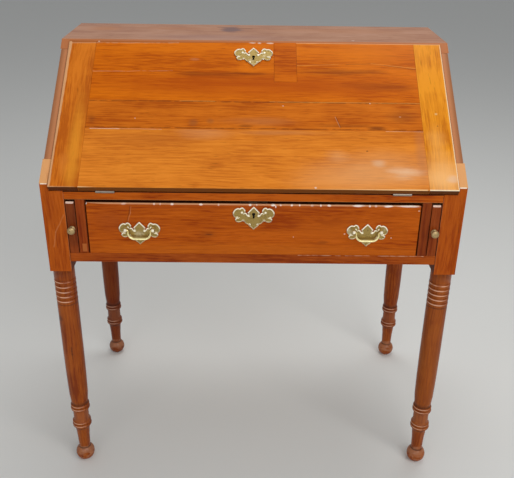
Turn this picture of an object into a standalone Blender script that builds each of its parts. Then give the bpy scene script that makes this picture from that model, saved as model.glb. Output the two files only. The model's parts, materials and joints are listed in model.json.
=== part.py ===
"""Slant top desk: a case with a hinged lid and one long drawer, standing on four turned legs.

Metres, +Z up, front towards -Y. Design coordinates put Y = 0 on the front face of the posts and Z = 0
on the floor; the root empty shifts the desk so that its origin lies under the middle of its outline.
"""

import math

import bmesh
import bpy
from mathutils import Vector

# Clearances and the overlaps that joined and cut shapes need
FIT = 0.0003
SINK = 0.002
PAST = 0.010

# Case
WIDTH = 0.914
DEPTH = 0.528
HEIGHT = 1.022
POST = 0.049
SHOULDER_Z = 0.567
BED_Z = 0.7615
RAIL_UPPER = 0.019
DRAWER_OPENING = 0.1289
RAIL_LOWER = 0.022
PANEL = 0.016
PANEL_INSET = 0.0025
TOP_THICK = 0.019
SLANT_START_Z = 0.7785
TOP_FRONT_Y = 0.314
TOP_LIP = 0.009
FRONT_SETBACK = 0.001
BACK_THICK = 0.012
BACK_JOINT_Z = 0.800
BACK_TONGUE = 0.004
RABBET_WIDE = 0.010
PARTITION = 0.021
PARTITION_BACK_GAP = 0.0155
RUNNER = 0.019
RUNNER_REACH = 0.0395
FENCE = 0.016
FENCE_HEIGHT = 0.050

# Joints in the case
TENON_LONG = 0.015
TENON_INSET_Y = 0.012
TENON_INSET_Z = 0.004
TONGUE = 0.006
TONGUE_LONG = 0.010
TONGUE_INSET = 0.0084
DADO = 0.004
STUB = 0.005
STUB_THICK = 0.008
STUB_RUN = 0.030
POST_STUB = 0.020
POST_STUB_LONG = 0.010

# Legs, as heights above the floor and drops below the shoulder
LEG_STEPS = 14
SWELL_STEPS = 4
LEG_ROUND = 0.0241
BEAD_DROP = 0.0274
BEAD_COUNT = 5
BEAD_PITCH = 0.0127
BEAD_CREST = 0.0244
BEAD_GROOVE = 0.0228
SHAFT = ((0.02, 0.0243), (0.47, 0.0244), (0.72, 0.0240), (0.93, 0.0229), (1.0, 0.0212))
SHAFT_FOOT_Z = 0.193
RING_UPPER_Z = 0.171
RING_LOWER_Z = 0.119
RING_HALF = 0.009
RING_CREST = 0.0235
RING_GROOVE = 0.0202
COVE_RADIUS = 0.0189
NECK = ((0.0174, 0.101), (0.0151, 0.075))
NECK_FOOT = 0.0140
BALL_RADIUS = 0.0233
BALL_STEPS = 8
FOOT_FLAT = 0.009

# Lid
LID_THICK = 0.0185
LID_SIDE_GAP = 0.0012
LID_TOP_GAP = 0.0006
LID_EDGE = 0.0004
LID_END_WIDE = 0.064
LID_UPPER_WIDE = 0.170
LID_MIDDLE_WIDE = 0.078
LID_TONGUE = 0.0065
LID_TONGUE_LONG = 0.012
LID_TONGUE_INSET = 0.008
PATCH_X = 0.0445
PATCH_WIDE = 0.052
PATCH_LONG = 0.115
PATCH_DEEP = 0.008
STOP_SIDE = 0.012
STOP_DOWN = 0.038
STOP_LONG = 0.180

# Hinges
HINGE_FROM_END = 0.0553
HINGE_AHEAD = 0.0012
HINGE_LONG = 0.040
HINGE_MIDDLE = 0.018
BARREL_RADIUS = 0.0032
BARREL_GAP = 0.0004
PIN_RADIUS = 0.00135
PIN_GAP = 0.00015
LEAF = 0.0016
LEAF_WIDE = 0.022

# Drawer
DRAWER_SIDE_GAP = 0.0025
DRAWER_BASE_GAP = 0.0005
DRAWER_TOP_GAP = 0.0068
DRAWER_FRONT = 0.020
DRAWER_SIDE = 0.012
DRAWER_SIDE_HIGH = 0.118
DRAWER_BACK_GAP = 0.0205
DRAWER_BACK = 0.010
DRAWER_BACK_INSET = 0.013
DRAWER_BOTTOM = 0.007
DRAWER_BOTTOM_Z = 0.010
DRAWER_GROOVE = 0.006
TAIL_COUNT = 3
TAIL_LAP = 0.007
TAIL_ROOT = 0.0085
TAIL_FLARE = 0.003

# Locks
LOCK_THICK = 0.010
LOCK_WIDE = 0.060
DRAWER_LOCK_TALL = 0.045
LID_LOCK_TALL = 0.058
LID_LOCK_X = -0.0035
BOLT_WIDE = 0.022
BOLT_INSET = 0.002
BOLT_THICK = 0.006
BOLT_LONG = 0.021
BOLT_GAP = 0.0004
DRAWER_BOLT_THROW = 0.0098
LID_BOLT_THROW = 0.007
KEYHOLE_RADIUS = 0.0031
KEYHOLE_SLOT = 0.0028
KEYHOLE_DROP = 0.0098
DRAWER_KEYHOLE_Z = 0.098
LID_KEYHOLE_DOWN = 0.0445

# Batwing plates, pulls and knobs
PLATE_HALF_WIDE = 0.0455
PLATE_HALF_HIGH = 0.0275
PLATE_THICK = 0.0015
DRAWER_PLATE_Z = 0.0896
LID_PLATE_DOWN = 0.0455
PULL_FROM_END = 0.1125
PULL_PLATE_Z = 0.051
PULL_AXIS_Z = 0.0615
PULL_POST_X = 0.030
PULL_POST_REACH = 0.008
PULL_BALL = 0.0040
PULL_BALL_STEPS = 6
PULL_POST_STEPS = 12
PULL_NECK = 0.0030
PULL_FLANGE = 0.0055
PULL_FLANGE_THICK = 0.002
PULL_SHANK = 0.0024
PULL_NUT = 0.0055
PULL_NUT_THICK = 0.004
BAIL_RADIUS = 0.0018
BAIL_HALF = 0.0245
BAIL_DROP = 0.0225
BAIL_END = 0.0015
BAIL_TOP_BEND = 0.003
BAIL_LOW_BEND = 0.014
BAIL_BEND_STEPS = 4
BAIL_ROUND_STEPS = 2
KNOB_Z = 0.0595
KNOB_REACH = 0.017
KNOB_RADIUS = 0.009
KNOB_NECK = 0.0045
KNOB_HEAD_HALF = 0.0048
KNOB_HEAD_STEPS = 6
KNOB_FLANGE = 0.007
KNOB_FLANGE_THICK = 0.0024
KNOB_SHANK = 0.003
KNOB_SHANK_LONG = 0.012

# Lopers, the pull-out supports of the open lid
LOPER = 0.0195
LOPER_GAP = 0.0015
LOPER_BASE_GAP = 0.0005
LOPER_TOP_GAP = 0.0004
LOPER_LONG = 0.439

# Gallery inside the case
SHELF_Z = 0.862
SHELF_THICK = 0.010
SHELF_FRONT_Y = 0.332
DIVIDER_COUNT = 5
DIVIDER_THICK = 0.008
DIVIDER_SETBACK = 0.008
DIVIDER_GROOVE = 0.003

# Places that follow from the sizes above
HALF = WIDTH / 2
POST_IN = HALF - POST
INNER_X = HALF - PANEL_INSET - PANEL
REAR_POST_Y = DEPTH - POST
TOP_UNDER = HEIGHT - TOP_THICK
RAIL_BOTTOM = BED_Z - RAIL_UPPER
LOWER_TOP = RAIL_BOTTOM - DRAWER_OPENING
CASE_BOTTOM = LOWER_TOP - RAIL_LOWER
INSIDE_BACK_Y = DEPTH - BACK_THICK - FIT
PARTITION_OUT = POST_IN - 2 * LOPER_GAP - LOPER
PARTITION_IN = PARTITION_OUT - PARTITION
DRAWER_HALF = PARTITION_IN - DRAWER_SIDE_GAP
DRAWER_TOP = DRAWER_OPENING - DRAWER_TOP_GAP
OUTLINE_MIDDLE_Y = (DEPTH + FRONT_SETBACK - KNOB_REACH) / 2
SLOPE = math.atan2(HEIGHT - SLANT_START_Z, TOP_FRONT_Y)
HINGE_Y = FRONT_SETBACK - HINGE_AHEAD
HINGE_Z = BED_Z + FIT
ARRIS_Y = TOP_FRONT_Y - HINGE_Y
ARRIS_Z = HEIGHT - HINGE_Z
ARRIS_UP = ARRIS_Y * math.cos(SLOPE) + ARRIS_Z * math.sin(SLOPE)
ARRIS_OUT = ARRIS_Z * math.cos(SLOPE) - ARRIS_Y * math.sin(SLOPE)
LID_HALF = INNER_X - LID_SIDE_GAP
LID_END = ARRIS_UP - TOP_LIP - LID_TOP_GAP
FIELD_HALF = LID_HALF - LID_END_WIDE
LID_JOINTS = (LID_END - LID_UPPER_WIDE - LID_MIDDLE_WIDE, LID_END - LID_UPPER_WIDE)
HINGE_X = FIELD_HALF - HINGE_FROM_END
PULL_X = DRAWER_HALF - PULL_FROM_END
DIVIDER_PITCH = 2 * INNER_X / (DIVIDER_COUNT + 1)
LEAF_START = BARREL_RADIUS + BARREL_GAP
LOPER_X = POST_IN - LOPER_GAP - LOPER / 2
SIDES = (("left", -1), ("right", 1))
SHARP_ANGLE = math.radians(40)
ALONG_X = (0, math.pi / 2, 0)
FACING_FRONT = (math.pi / 2, 0, 0)

# Right half of the batwing outline, as shares of its half width and half height, with its sharp points
BATWING = (
    (0.00, 0.99, True), (0.14, 0.74, False), (0.27, 0.49, True), (0.205, 0.34, False),
    (0.233, 0.18, False), (0.324, 0.29, False), (0.396, 0.44, False), (0.505, 0.40, True),
    (0.44, 0.565, False), (0.46, 0.76, False), (0.578, 0.92, False), (0.67, 0.82, True),
    (0.796, 0.845, False), (0.933, 0.677, False), (0.996, 0.42, False), (0.942, 0.16, False),
    (0.833, 0.05, False), (0.715, 0.03, True), (0.878, -0.085, False), (0.864, -0.226, False),
    (0.77, -0.32, False), (0.64, -0.29, False), (0.518, -0.113, True), (0.44, -0.274, False),
    (0.342, -0.468, False), (0.224, -0.53, True), (0.187, -0.69, False), (0.078, -0.84, False),
    (0.00, -0.99, True),
)
OUTLINE_STEPS = 2
ROD_SEGMENTS = 16

for old in list(bpy.data.objects):
    bpy.data.objects.remove(old, do_unlink=True)


def collection(name):
    made = bpy.data.collections.new(name)
    bpy.context.scene.collection.children.link(made)
    return made


def finish(name, color, roughness, metallic=0.0):
    made = bpy.data.materials.new(name)
    made.use_nodes = True
    shader = made.node_tree.nodes["Principled BSDF"]
    shader.inputs["Base Color"].default_value = (*color, 1.0)
    shader.inputs["Roughness"].default_value = roughness
    shader.inputs["Metallic"].default_value = metallic
    return made


DESK = collection("slant_top_desk")
CUTTERS = collection("cutters")
CASE_WOOD = finish("case_wood", (0.26, 0.075, 0.016), 0.35)
LID_WOOD = finish("lid_wood", (0.44, 0.125, 0.018), 0.3)
LID_END_WOOD = finish("lid_end_wood", (0.52, 0.18, 0.030), 0.3)
DRAWER_WOOD = finish("drawer_wood", (0.32, 0.075, 0.010), 0.33)
INSIDE_WOOD = finish("inside_wood", (0.42, 0.25, 0.11), 0.6)
BRASS = finish("aged_brass", (0.46, 0.34, 0.14), 0.35, 1.0)
IRON = finish("worn_iron", (0.30, 0.28, 0.25), 0.45, 1.0)


def empty(name, place, parent=None, tilt=0.0):
    frame = bpy.data.objects.new(name, None)
    DESK.objects.link(frame)
    frame.location = place
    frame.rotation_euler.x = tilt
    frame.parent = parent
    return frame


ROOT = empty("desk", (0, -OUTLINE_MIDDLE_Y, 0))
SLANT = empty("slant", (0, HINGE_Y, HINGE_Z), ROOT, SLOPE)
LID = empty("lid", (0, HINGE_Y, HINGE_Z), ROOT, SLOPE)
DRAWER = empty("drawer", (0, FRONT_SETBACK, LOWER_TOP), ROOT)


def place_object(name, data, look, frame, helper):
    piece = bpy.data.objects.new(name, data)
    (CUTTERS if helper else DESK).objects.link(piece)
    piece.parent = frame
    if helper:
        piece.hide_render = True
        piece.display_type = "WIRE"
    else:
        data.materials.append(look)
    return piece


def mesh_from(name, shape):
    mesh = bpy.data.meshes.new(name)
    shape.to_mesh(mesh)
    shape.free()
    return mesh


def box(name, x, y, z, look=None, frame=ROOT, helper=False):
    """A board between two limits each way, in its frame's own coordinates."""
    low = Vector((min(x), min(y), min(z)))
    high = Vector((max(x), max(y), max(z)))
    shape = bmesh.new()
    bmesh.ops.create_cube(shape, size=1)
    bmesh.ops.scale(shape, vec=high - low, verts=shape.verts)
    piece = place_object(name, mesh_from(name, shape), look, frame, helper)
    piece.location = (low + high) / 2
    return piece


def rod(name, radius, length, place, turn, look=None, frame=ROOT, helper=False, segments=ROD_SEGMENTS):
    shape = bmesh.new()
    bmesh.ops.create_cone(
        shape, cap_ends=True, segments=segments, radius1=radius, radius2=radius, depth=length
    )
    mesh = mesh_from(name, shape)
    mesh.shade_smooth()
    mesh.set_sharp_from_angle(angle=SHARP_ANGLE)
    piece = place_object(name, mesh, look, frame, helper)
    piece.location = place
    piece.rotation_euler = turn
    return piece


def turned(name, profile, place, look, frame=ROOT, turn=(0, 0, 0), steps=LEG_STEPS):
    """A turning from (radius, height) points that run from the top of its axis to the bottom."""
    shape = bmesh.new()
    rim = [shape.verts.new((radius, 0, height)) for radius, height in profile]
    for upper, lower in zip(rim, rim[1:]):
        shape.edges.new((upper, lower))
    piece = place_object(name, mesh_from(name, shape), look, frame, False)
    piece.location = place
    piece.rotation_euler = turn
    screw = piece.modifiers.new("turning", "SCREW")
    screw.steps = steps
    screw.render_steps = steps
    screw.use_merge_vertices = True
    screw.merge_threshold = 0.00001
    screw.use_smooth_shade = True
    return piece


def boolean(piece, tool, operation):
    modifier = piece.modifiers.new(tool.name, "BOOLEAN")
    modifier.operation = operation
    modifier.object = tool


def cut(piece, tool):
    boolean(piece, tool, "DIFFERENCE")


def join(piece, tool):
    boolean(piece, tool, "UNION")


def grown(limits, by=FIT):
    return (min(limits) - by, max(limits) + by)


def about(middle, whole):
    return (middle - whole / 2, middle + whole / 2)


def mirrored(sign, near, far):
    return (sign * near, sign * far)


def hollow(piece, label, x, y, z, frame=ROOT):
    cut(piece, box(label, x, y, z, frame=frame, helper=True))


def tenon(piece, mate, x, y, z, frame=ROOT):
    """A tenon or tongue joined to piece, and its mortise or groove in mate, larger all round by FIT."""
    label = f"{piece.name}_in_{mate.name}"
    join(piece, box(label, x, y, z, frame=frame, helper=True))
    hollow(mate, label + "_mortise", grown(x), grown(y), grown(z), frame)


def swell(middle, half, groove, crest, steps=SWELL_STEPS):
    """Points of a bead, or of a cove where the crest is the smaller radius, from top to bottom."""
    angles = [math.pi * step / steps for step in range(steps + 1)]
    return [(groove + (crest - groove) * math.sin(a), middle + half * math.cos(a)) for a in angles]


def ball(radius, middle, start, end, steps):
    """Points down a ball between two angles from its upper pole."""
    angles = [start + (end - start) * step / steps for step in range(steps + 1)]
    return [(radius * math.sin(a), middle + radius * math.cos(a)) for a in angles]


def without_repeats(points):
    kept = [points[0]]
    for point in points[1:]:
        if math.dist(point, kept[-1]) > FIT / 2:
            kept.append(point)
    return kept


def leg_profile():
    points = [(0, SHOULDER_Z + SINK), (LEG_ROUND, SHOULDER_Z + SINK)]
    bead_top = SHOULDER_Z - BEAD_DROP
    for bead in range(BEAD_COUNT):
        middle = bead_top - (bead + 0.5) * BEAD_PITCH
        points += swell(middle, BEAD_PITCH / 2, BEAD_GROOVE, BEAD_CREST)
    shaft_top = bead_top - BEAD_COUNT * BEAD_PITCH
    points += [(radius, shaft_top + share * (SHAFT_FOOT_Z - shaft_top)) for share, radius in SHAFT]
    cove_half = (RING_UPPER_Z - RING_LOWER_Z) / 2 - RING_HALF
    points += swell(RING_UPPER_Z, RING_HALF, RING_GROOVE, RING_CREST)
    points += swell((RING_UPPER_Z + RING_LOWER_Z) / 2, cove_half, RING_GROOVE, COVE_RADIUS)
    points += swell(RING_LOWER_Z, RING_HALF, RING_GROOVE, RING_CREST)
    points += NECK
    ball_z = math.sqrt(BALL_RADIUS**2 - FOOT_FLAT**2)
    start = math.asin(NECK_FOOT / BALL_RADIUS)
    end = math.pi - math.asin(FOOT_FLAT / BALL_RADIUS)
    points += ball(BALL_RADIUS, ball_z, start, end, BALL_STEPS)
    points.append((0, 0))
    return without_repeats(points)


def make_legs(slant):
    legs = {}
    for row, y, top in (("front", (0, POST), HEIGHT), ("rear", (REAR_POST_Y, DEPTH), TOP_UNDER - FIT)):
        for side, sign in SIDES:
            name = f"leg_{row}_{side}"
            place = (sign * (HALF - POST / 2), sum(y) / 2, 0)
            leg = turned(name, leg_profile(), place, CASE_WOOD)
            x = mirrored(sign, POST_IN, HALF)
            join(leg, box(name + "_post", x, y, (SHOULDER_Z, top), helper=True))
            legs[row, side] = leg
    for side, sign in SIDES:
        front = legs["front", side]
        cut(front, slant)
        notch_x = mirrored(sign, POST_IN - PAST, INNER_X)
        hollow(front, front.name + "_notch", notch_x, grown((0, POST), PAST), (BED_Z, HEIGHT + PAST))
        rear = legs["rear", side]
        rabbet_x = mirrored(sign, POST_IN - PAST, POST_IN + RABBET_WIDE)
        rabbet_z = (CASE_BOTTOM - FIT, HEIGHT)
        hollow(rear, rear.name + "_rabbet", rabbet_x, (INSIDE_BACK_Y, DEPTH + PAST), rabbet_z)
    return legs


def make_top(legs, slant):
    front = TOP_FRONT_Y - TOP_THICK / math.tan(SLOPE) - PAST
    top = box("top_board", (-HALF, HALF), (front, DEPTH), (TOP_UNDER, HEIGHT), CASE_WOOD)
    cut(top, slant)
    lip = ARRIS_UP - TOP_LIP
    hollow(top, "top_recess", (-INNER_X, INNER_X), (-WIDTH, lip), (-WIDTH, WIDTH), SLANT)
    for side, sign in SIDES:
        x = about(sign * (HALF - POST / 2), POST_STUB)
        y = about(REAR_POST_Y + (INSIDE_BACK_Y - REAR_POST_Y) / 2, POST_STUB)
        tenon(legs["rear", side], top, x, y, (TOP_UNDER - FIT - SINK, TOP_UNDER + POST_STUB_LONG))
    return top


def make_rail(name, posts, y, z, look=CASE_WOOD):
    """A rail between a left and a right post, with a tenon at each end."""
    rail = box(name, (FIT - POST_IN, POST_IN - FIT), y, z, look)
    for side, sign in SIDES:
        x = mirrored(sign, POST_IN - SINK, POST_IN + TENON_LONG)
        tenon_y = (y[0] + TENON_INSET_Y, y[1] - TENON_INSET_Y)
        tenon(rail, posts[side], x, tenon_y, (z[0] + TENON_INSET_Z, z[1] - TENON_INSET_Z))
    return rail


def make_panel(side, sign, legs, top, slant):
    """A side board between its two posts: a tongue into each of them and one into the top."""
    x = mirrored(sign, INNER_X, INNER_X + PANEL)
    y = (POST + FIT, REAR_POST_Y - FIT)
    panel = box(f"side_panel_{side}", x, y, (CASE_BOTTOM, TOP_UNDER - FIT), CASE_WOOD)
    cut(panel, slant)
    tongue_x = about(sign * (INNER_X + PANEL / 2), TONGUE)
    low = CASE_BOTTOM + TONGUE_INSET
    front_z = (low, SLANT_START_Z + TONGUE_INSET)
    tenon(panel, legs["front", side], tongue_x, (POST - TONGUE_LONG, y[0] + SINK), front_z)
    rear_z = (low, TOP_UNDER - TONGUE_INSET)
    tenon(panel, legs["rear", side], tongue_x, (y[1] - SINK, REAR_POST_Y + TONGUE_LONG), rear_z)
    top_y = (TOP_FRONT_Y + TONGUE_INSET, REAR_POST_Y - TONGUE_INSET)
    tenon(panel, top, tongue_x, top_y, (TOP_UNDER - FIT - SINK, TOP_UNDER + TONGUE_LONG))
    return panel


def housed_board(name, panels, y, z, look):
    """A board across the case, housed in both side panels and notched round the rear posts."""
    reach = INNER_X + DADO
    board = box(name, (-reach, reach), y, z, look)
    for side, sign in SIDES:
        corner_x = mirrored(sign, POST_IN - FIT, HALF)
        hollow(board, f"{name}_corner", corner_x, (REAR_POST_Y - FIT, DEPTH), grown(z, PAST))
        dado_x = mirrored(sign, INNER_X - PAST, reach + FIT)
        hollow(panels[side], f"{name}_dado", dado_x, (y[0] - FIT, DEPTH), grown(z))
    return board


def make_case(slant):
    legs = make_legs(slant)
    front_posts = {side: legs["front", side] for side, _ in SIDES}
    rear_posts = {side: legs["rear", side] for side, _ in SIDES}
    top = make_top(legs, slant)
    panels = {side: make_panel(side, sign, legs, top, slant) for side, sign in SIDES}
    front_y = (FRONT_SETBACK, POST)
    upper = make_rail("rail_front_upper", front_posts, front_y, (RAIL_BOTTOM, BED_Z))
    lower = make_rail("rail_front_lower", front_posts, front_y, (CASE_BOTTOM, LOWER_TOP))
    rear_y = (REAR_POST_Y, INSIDE_BACK_Y)
    rear = make_rail("rail_rear", rear_posts, rear_y, (CASE_BOTTOM, LOWER_TOP), INSIDE_WOOD)
    bed_y = (POST + FIT, INSIDE_BACK_Y)
    bed = housed_board("writing_bed", panels, bed_y, (RAIL_BOTTOM, BED_Z), CASE_WOOD)
    bed_tongue_y = (POST - TONGUE_LONG, POST + FIT + SINK)
    bed_tongue_z = about(BED_Z - RAIL_UPPER / 2, TONGUE)
    tenon(bed, upper, (-PARTITION_IN, PARTITION_IN), bed_tongue_y, bed_tongue_z)
    make_back()
    for side, sign in SIDES:
        runner = make_runner(side, sign, lower, rear)
        make_partition(side, sign, lower, upper, runner, bed)
    return top, upper, panels


def make_back():
    """Two back boards in the rear posts' rabbets, with a tongue and groove between them."""
    half = POST_IN + RABBET_WIDE - FIT
    y = (DEPTH - BACK_THICK, DEPTH)
    lower = box("back_board_lower", (-half, half), y, (CASE_BOTTOM, BACK_JOINT_Z), INSIDE_WOOD)
    upper_z = (BACK_JOINT_Z + FIT, TOP_UNDER - FIT)
    upper = box("back_board_upper", (-half, half), y, upper_z, INSIDE_WOOD)
    tongue_x = (TONGUE_INSET - half, half - TONGUE_INSET)
    tongue_y = about(sum(y) / 2, BACK_TONGUE)
    tenon(lower, upper, tongue_x, tongue_y, (BACK_JOINT_Z - SINK, BACK_JOINT_Z + STUB))


def make_runner(side, sign, lower, rear):
    """The board under one drawer side and one loper, with the fence that guides the loper."""
    x = mirrored(sign, PARTITION_IN - RUNNER_REACH, INNER_X - FIT)
    y = (POST + FIT, REAR_POST_Y - FIT)
    runner = box(f"runner_{side}", x, y, (LOWER_TOP - RUNNER, LOWER_TOP), INSIDE_WOOD)
    fence_x = mirrored(sign, POST_IN + FIT, POST_IN + FIT + FENCE)
    fence_z = (LOWER_TOP - SINK, LOWER_TOP + FENCE_HEIGHT)
    join(runner, box(f"fence_{side}", fence_x, grown(y, -SINK), fence_z, helper=True))
    tongue_x = mirrored(sign, PARTITION_IN - RUNNER_REACH + TONGUE_INSET, PARTITION_OUT)
    tongue_z = about(LOWER_TOP - RUNNER / 2, TONGUE)
    tenon(runner, lower, tongue_x, (POST - STUB, POST + FIT + SINK), tongue_z)
    tenon(runner, rear, tongue_x, (REAR_POST_Y - FIT - SINK, REAR_POST_Y + STUB), tongue_z)
    return runner


def make_partition(side, sign, lower, upper, runner, bed):
    """The upright between drawer and loper, stub-tenoned above and below at its front and rear."""
    x = mirrored(sign, PARTITION_IN, PARTITION_OUT)
    y = (FRONT_SETBACK, INSIDE_BACK_Y - PARTITION_BACK_GAP)
    z = (LOWER_TOP + FIT, RAIL_BOTTOM - FIT)
    partition = box(f"partition_{side}", x, y, z, CASE_WOOD)
    stub_x = about(sum(x) / 2, STUB_THICK)
    front_y = (y[0] + TENON_INSET_Y, POST - TENON_INSET_Y)
    rear_y = (REAR_POST_Y - PAST - STUB_RUN, REAR_POST_Y - PAST)
    below = (LOWER_TOP - STUB, LOWER_TOP + FIT + SINK)
    above = (RAIL_BOTTOM - FIT - SINK, RAIL_BOTTOM + STUB)
    tenon(partition, lower, stub_x, front_y, below)
    tenon(partition, upper, stub_x, front_y, above)
    tenon(partition, runner, stub_x, rear_y, below)
    tenon(partition, bed, stub_x, rear_y, above)


def make_gallery(panels, top):
    """A shelf across the back of the case, and the dividers of its pigeonholes."""
    shelf_y = (SHELF_FRONT_Y, INSIDE_BACK_Y)
    shelf_top = SHELF_Z + SHELF_THICK
    shelf = housed_board("gallery_shelf", panels, shelf_y, (SHELF_Z, shelf_top), INSIDE_WOOD)
    y = (SHELF_FRONT_Y + DIVIDER_SETBACK, INSIDE_BACK_Y)
    z = (shelf_top - DIVIDER_GROOVE, TOP_UNDER + DIVIDER_GROOVE)
    for number in range(DIVIDER_COUNT):
        middle = (number - (DIVIDER_COUNT - 1) / 2) * DIVIDER_PITCH
        x = about(middle, DIVIDER_THICK)
        name = f"gallery_divider_{number + 1}"
        box(name, x, y, z, INSIDE_WOOD)
        for mate in (shelf, top):
            hollow(mate, f"{name}_groove", grown(x), grown(y), grown(z))


def make_lid_stops():
    for side, sign in SIDES:
        x = mirrored(sign, INNER_X - FIT - STOP_SIDE, INNER_X - FIT)
        up = (LID_END - STOP_DOWN - STOP_LONG, LID_END - STOP_DOWN)
        box(f"lid_stop_{side}", x, up, (-FIT - STOP_SIDE, -FIT), INSIDE_WOOD, SLANT)


def make_lid():
    """Three boards, tongued to each other and, at their ends, to two cross-grain end pieces."""
    thick = (0, LID_THICK)
    tongue_out = about(LID_THICK / 2, LID_TONGUE)
    end_x = (FIELD_HALF, LID_HALF)
    ends = {}
    for side, sign in SIDES:
        x = mirrored(sign, *end_x)
        ends[side] = box(f"lid_end_{side}", x, (LID_EDGE, LID_END), thick, LID_END_WOOD, LID)
    boards = []
    edges = (LID_EDGE, *LID_JOINTS, LID_END)
    field_x = (FIT - FIELD_HALF, FIELD_HALF - FIT)
    for name, low, high in zip(("lower", "middle", "upper"), edges, edges[1:]):
        start = low if not boards else low + FIT
        board = box(f"lid_board_{name}", field_x, (start, high), thick, LID_WOOD, LID)
        for side, sign in SIDES:
            tongue_x = mirrored(sign, FIELD_HALF - SINK, FIELD_HALF + LID_TONGUE_LONG)
            tongue_up = (start + LID_TONGUE_INSET, high - LID_TONGUE_INSET)
            tenon(board, ends[side], tongue_x, tongue_up, tongue_out, LID)
        if boards:
            tongue_x = grown(field_x, -LID_TONGUE_INSET)
            tenon(boards[-1], board, tongue_x, (low - SINK, low + TONGUE), tongue_out, LID)
        boards.append(board)
    upper = boards[-1]
    patch_x = (PATCH_X, PATCH_X + PATCH_WIDE)
    patch_up = (LID_END - PATCH_LONG, LID_END)
    patch_out = (LID_THICK - PATCH_DEEP, LID_THICK)
    box("lid_patch", patch_x, patch_up, patch_out, LID_WOOD, LID)
    recess_up = (patch_up[0] - FIT, LID_END + PAST)
    recess_out = (patch_out[0] - FIT, LID_THICK + PAST)
    hollow(upper, "lid_patch_recess", grown(patch_x), recess_up, recess_out, LID)
    return boards[0], upper


def make_hinge(side, sign, rail, board):
    """A butt hinge: two knuckles on the case leaf, one between them on the lid leaf, and the pin."""
    x = sign * HINGE_X
    whole = about(x, HINGE_LONG)
    bed_side = (BED_Z - LEAF, BED_Z)
    lid_side = (0, LEAF)
    case_leaf_y = (HINGE_Y + LEAF_START, HINGE_Y + LEAF_WIDE)
    case_leaf = box(f"hinge_{side}_case_leaf", whole, case_leaf_y, bed_side, IRON)
    lid_leaf = box(f"hinge_{side}_lid_leaf", whole, (LEAF_START, LEAF_WIDE), lid_side, IRON, LID)
    knuckle = (HINGE_LONG - HINGE_MIDDLE) / 2 - FIT
    outer = (HINGE_LONG - knuckle) / 2
    bridge = LEAF_START + SINK
    for way in (-1, 1):
        middle = x + way * outer
        join(case_leaf, rod(f"case_knuckle_{side}", BARREL_RADIUS, knuckle, (middle, HINGE_Y, HINGE_Z),
                            ALONG_X, helper=True))
        join(case_leaf, box(f"case_bridge_{side}", about(middle, knuckle - 2 * FIT),
                            (HINGE_Y, HINGE_Y + bridge), bed_side, helper=True))
    join(lid_leaf, rod(f"lid_knuckle_{side}", BARREL_RADIUS, HINGE_MIDDLE, (x, 0, 0), ALONG_X,
                       frame=LID, helper=True))
    join(lid_leaf, box(f"lid_bridge_{side}", about(x, HINGE_MIDDLE - 2 * FIT), (0, bridge), lid_side,
                       frame=LID, helper=True))
    bore = rod(f"pin_bore_{side}", PIN_RADIUS + PIN_GAP, HINGE_LONG + PAST, (x, HINGE_Y, HINGE_Z),
               ALONG_X, helper=True)
    cut(case_leaf, bore)
    cut(lid_leaf, bore)
    rod(f"hinge_{side}_pin", PIN_RADIUS, HINGE_LONG, (x, HINGE_Y, HINGE_Z), ALONG_X, IRON)
    room = grown(whole)
    barrel = rod(f"barrel_room_{side}", LEAF_START, HINGE_LONG + 2 * FIT, (x, HINGE_Y, HINGE_Z), ALONG_X,
                 helper=True)
    cut(rail, barrel)
    cut(board, barrel)
    recess_y = (HINGE_Y - PAST, case_leaf_y[1] + FIT)
    hollow(rail, f"case_leaf_recess_{side}", room, recess_y, (bed_side[0] - FIT, BED_Z + PAST))
    hollow(board, f"lid_leaf_recess_{side}", room, (-PAST, LEAF_WIDE + FIT), (-PAST, LEAF + FIT), LID)


def batwing(name, place, frame, turn=(0, 0, 0)):
    """A sheet brass plate with the batwing outline, lying in its frame's X and Y before it is turned."""
    left_half = [(-x, y, sharp) for x, y, sharp in reversed(BATWING[1:-1])]
    outline = [*BATWING, *left_half]
    curve = bpy.data.curves.new(name, "CURVE")
    curve.dimensions = "2D"
    curve.fill_mode = "BOTH"
    curve.extrude = PLATE_THICK / 2
    curve.resolution_u = OUTLINE_STEPS
    spline = curve.splines.new("BEZIER")
    spline.bezier_points.add(len(outline) - 1)
    spline.use_cyclic_u = True
    for point, (x, y, sharp) in zip(spline.bezier_points, outline):
        point.co = (x * PLATE_HALF_WIDE, y * PLATE_HALF_HIGH, 0)
        point.handle_left_type = "VECTOR" if sharp else "AUTO"
        point.handle_right_type = point.handle_left_type
    guide = place_object(name + "_outline", curve, None, frame, True)
    guide.location = place
    guide.rotation_euler = turn
    bpy.context.view_layer.update()
    mesh = bpy.data.meshes.new_from_object(guide.evaluated_get(bpy.context.evaluated_depsgraph_get()))
    shape = bmesh.new()
    shape.from_mesh(mesh)
    bmesh.ops.remove_doubles(shape, verts=shape.verts, dist=FIT / 10)
    bmesh.ops.recalc_face_normals(shape, faces=shape.faces)
    shape.to_mesh(mesh)
    shape.free()
    mesh.materials.clear()
    plate = place_object(name, mesh, BRASS, frame, False)
    plate.matrix_world = guide.matrix_world
    bpy.data.objects.remove(guide, do_unlink=True)
    return plate


def keyhole(pieces, label, place, reach, turn, frame):
    """A round hole and the slot under it through each piece, along the way that turn points the Z axis."""
    hole = rod(f"{label}_keyhole", KEYHOLE_RADIUS, reach, place, turn, frame=frame, helper=True)
    slot = box(f"{label}_key_slot", about(0, KEYHOLE_SLOT), (-KEYHOLE_DROP, 0), about(0, reach),
               frame=hole, helper=True)
    for piece in pieces:
        cut(piece, hole)
        cut(piece, slot)


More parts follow.
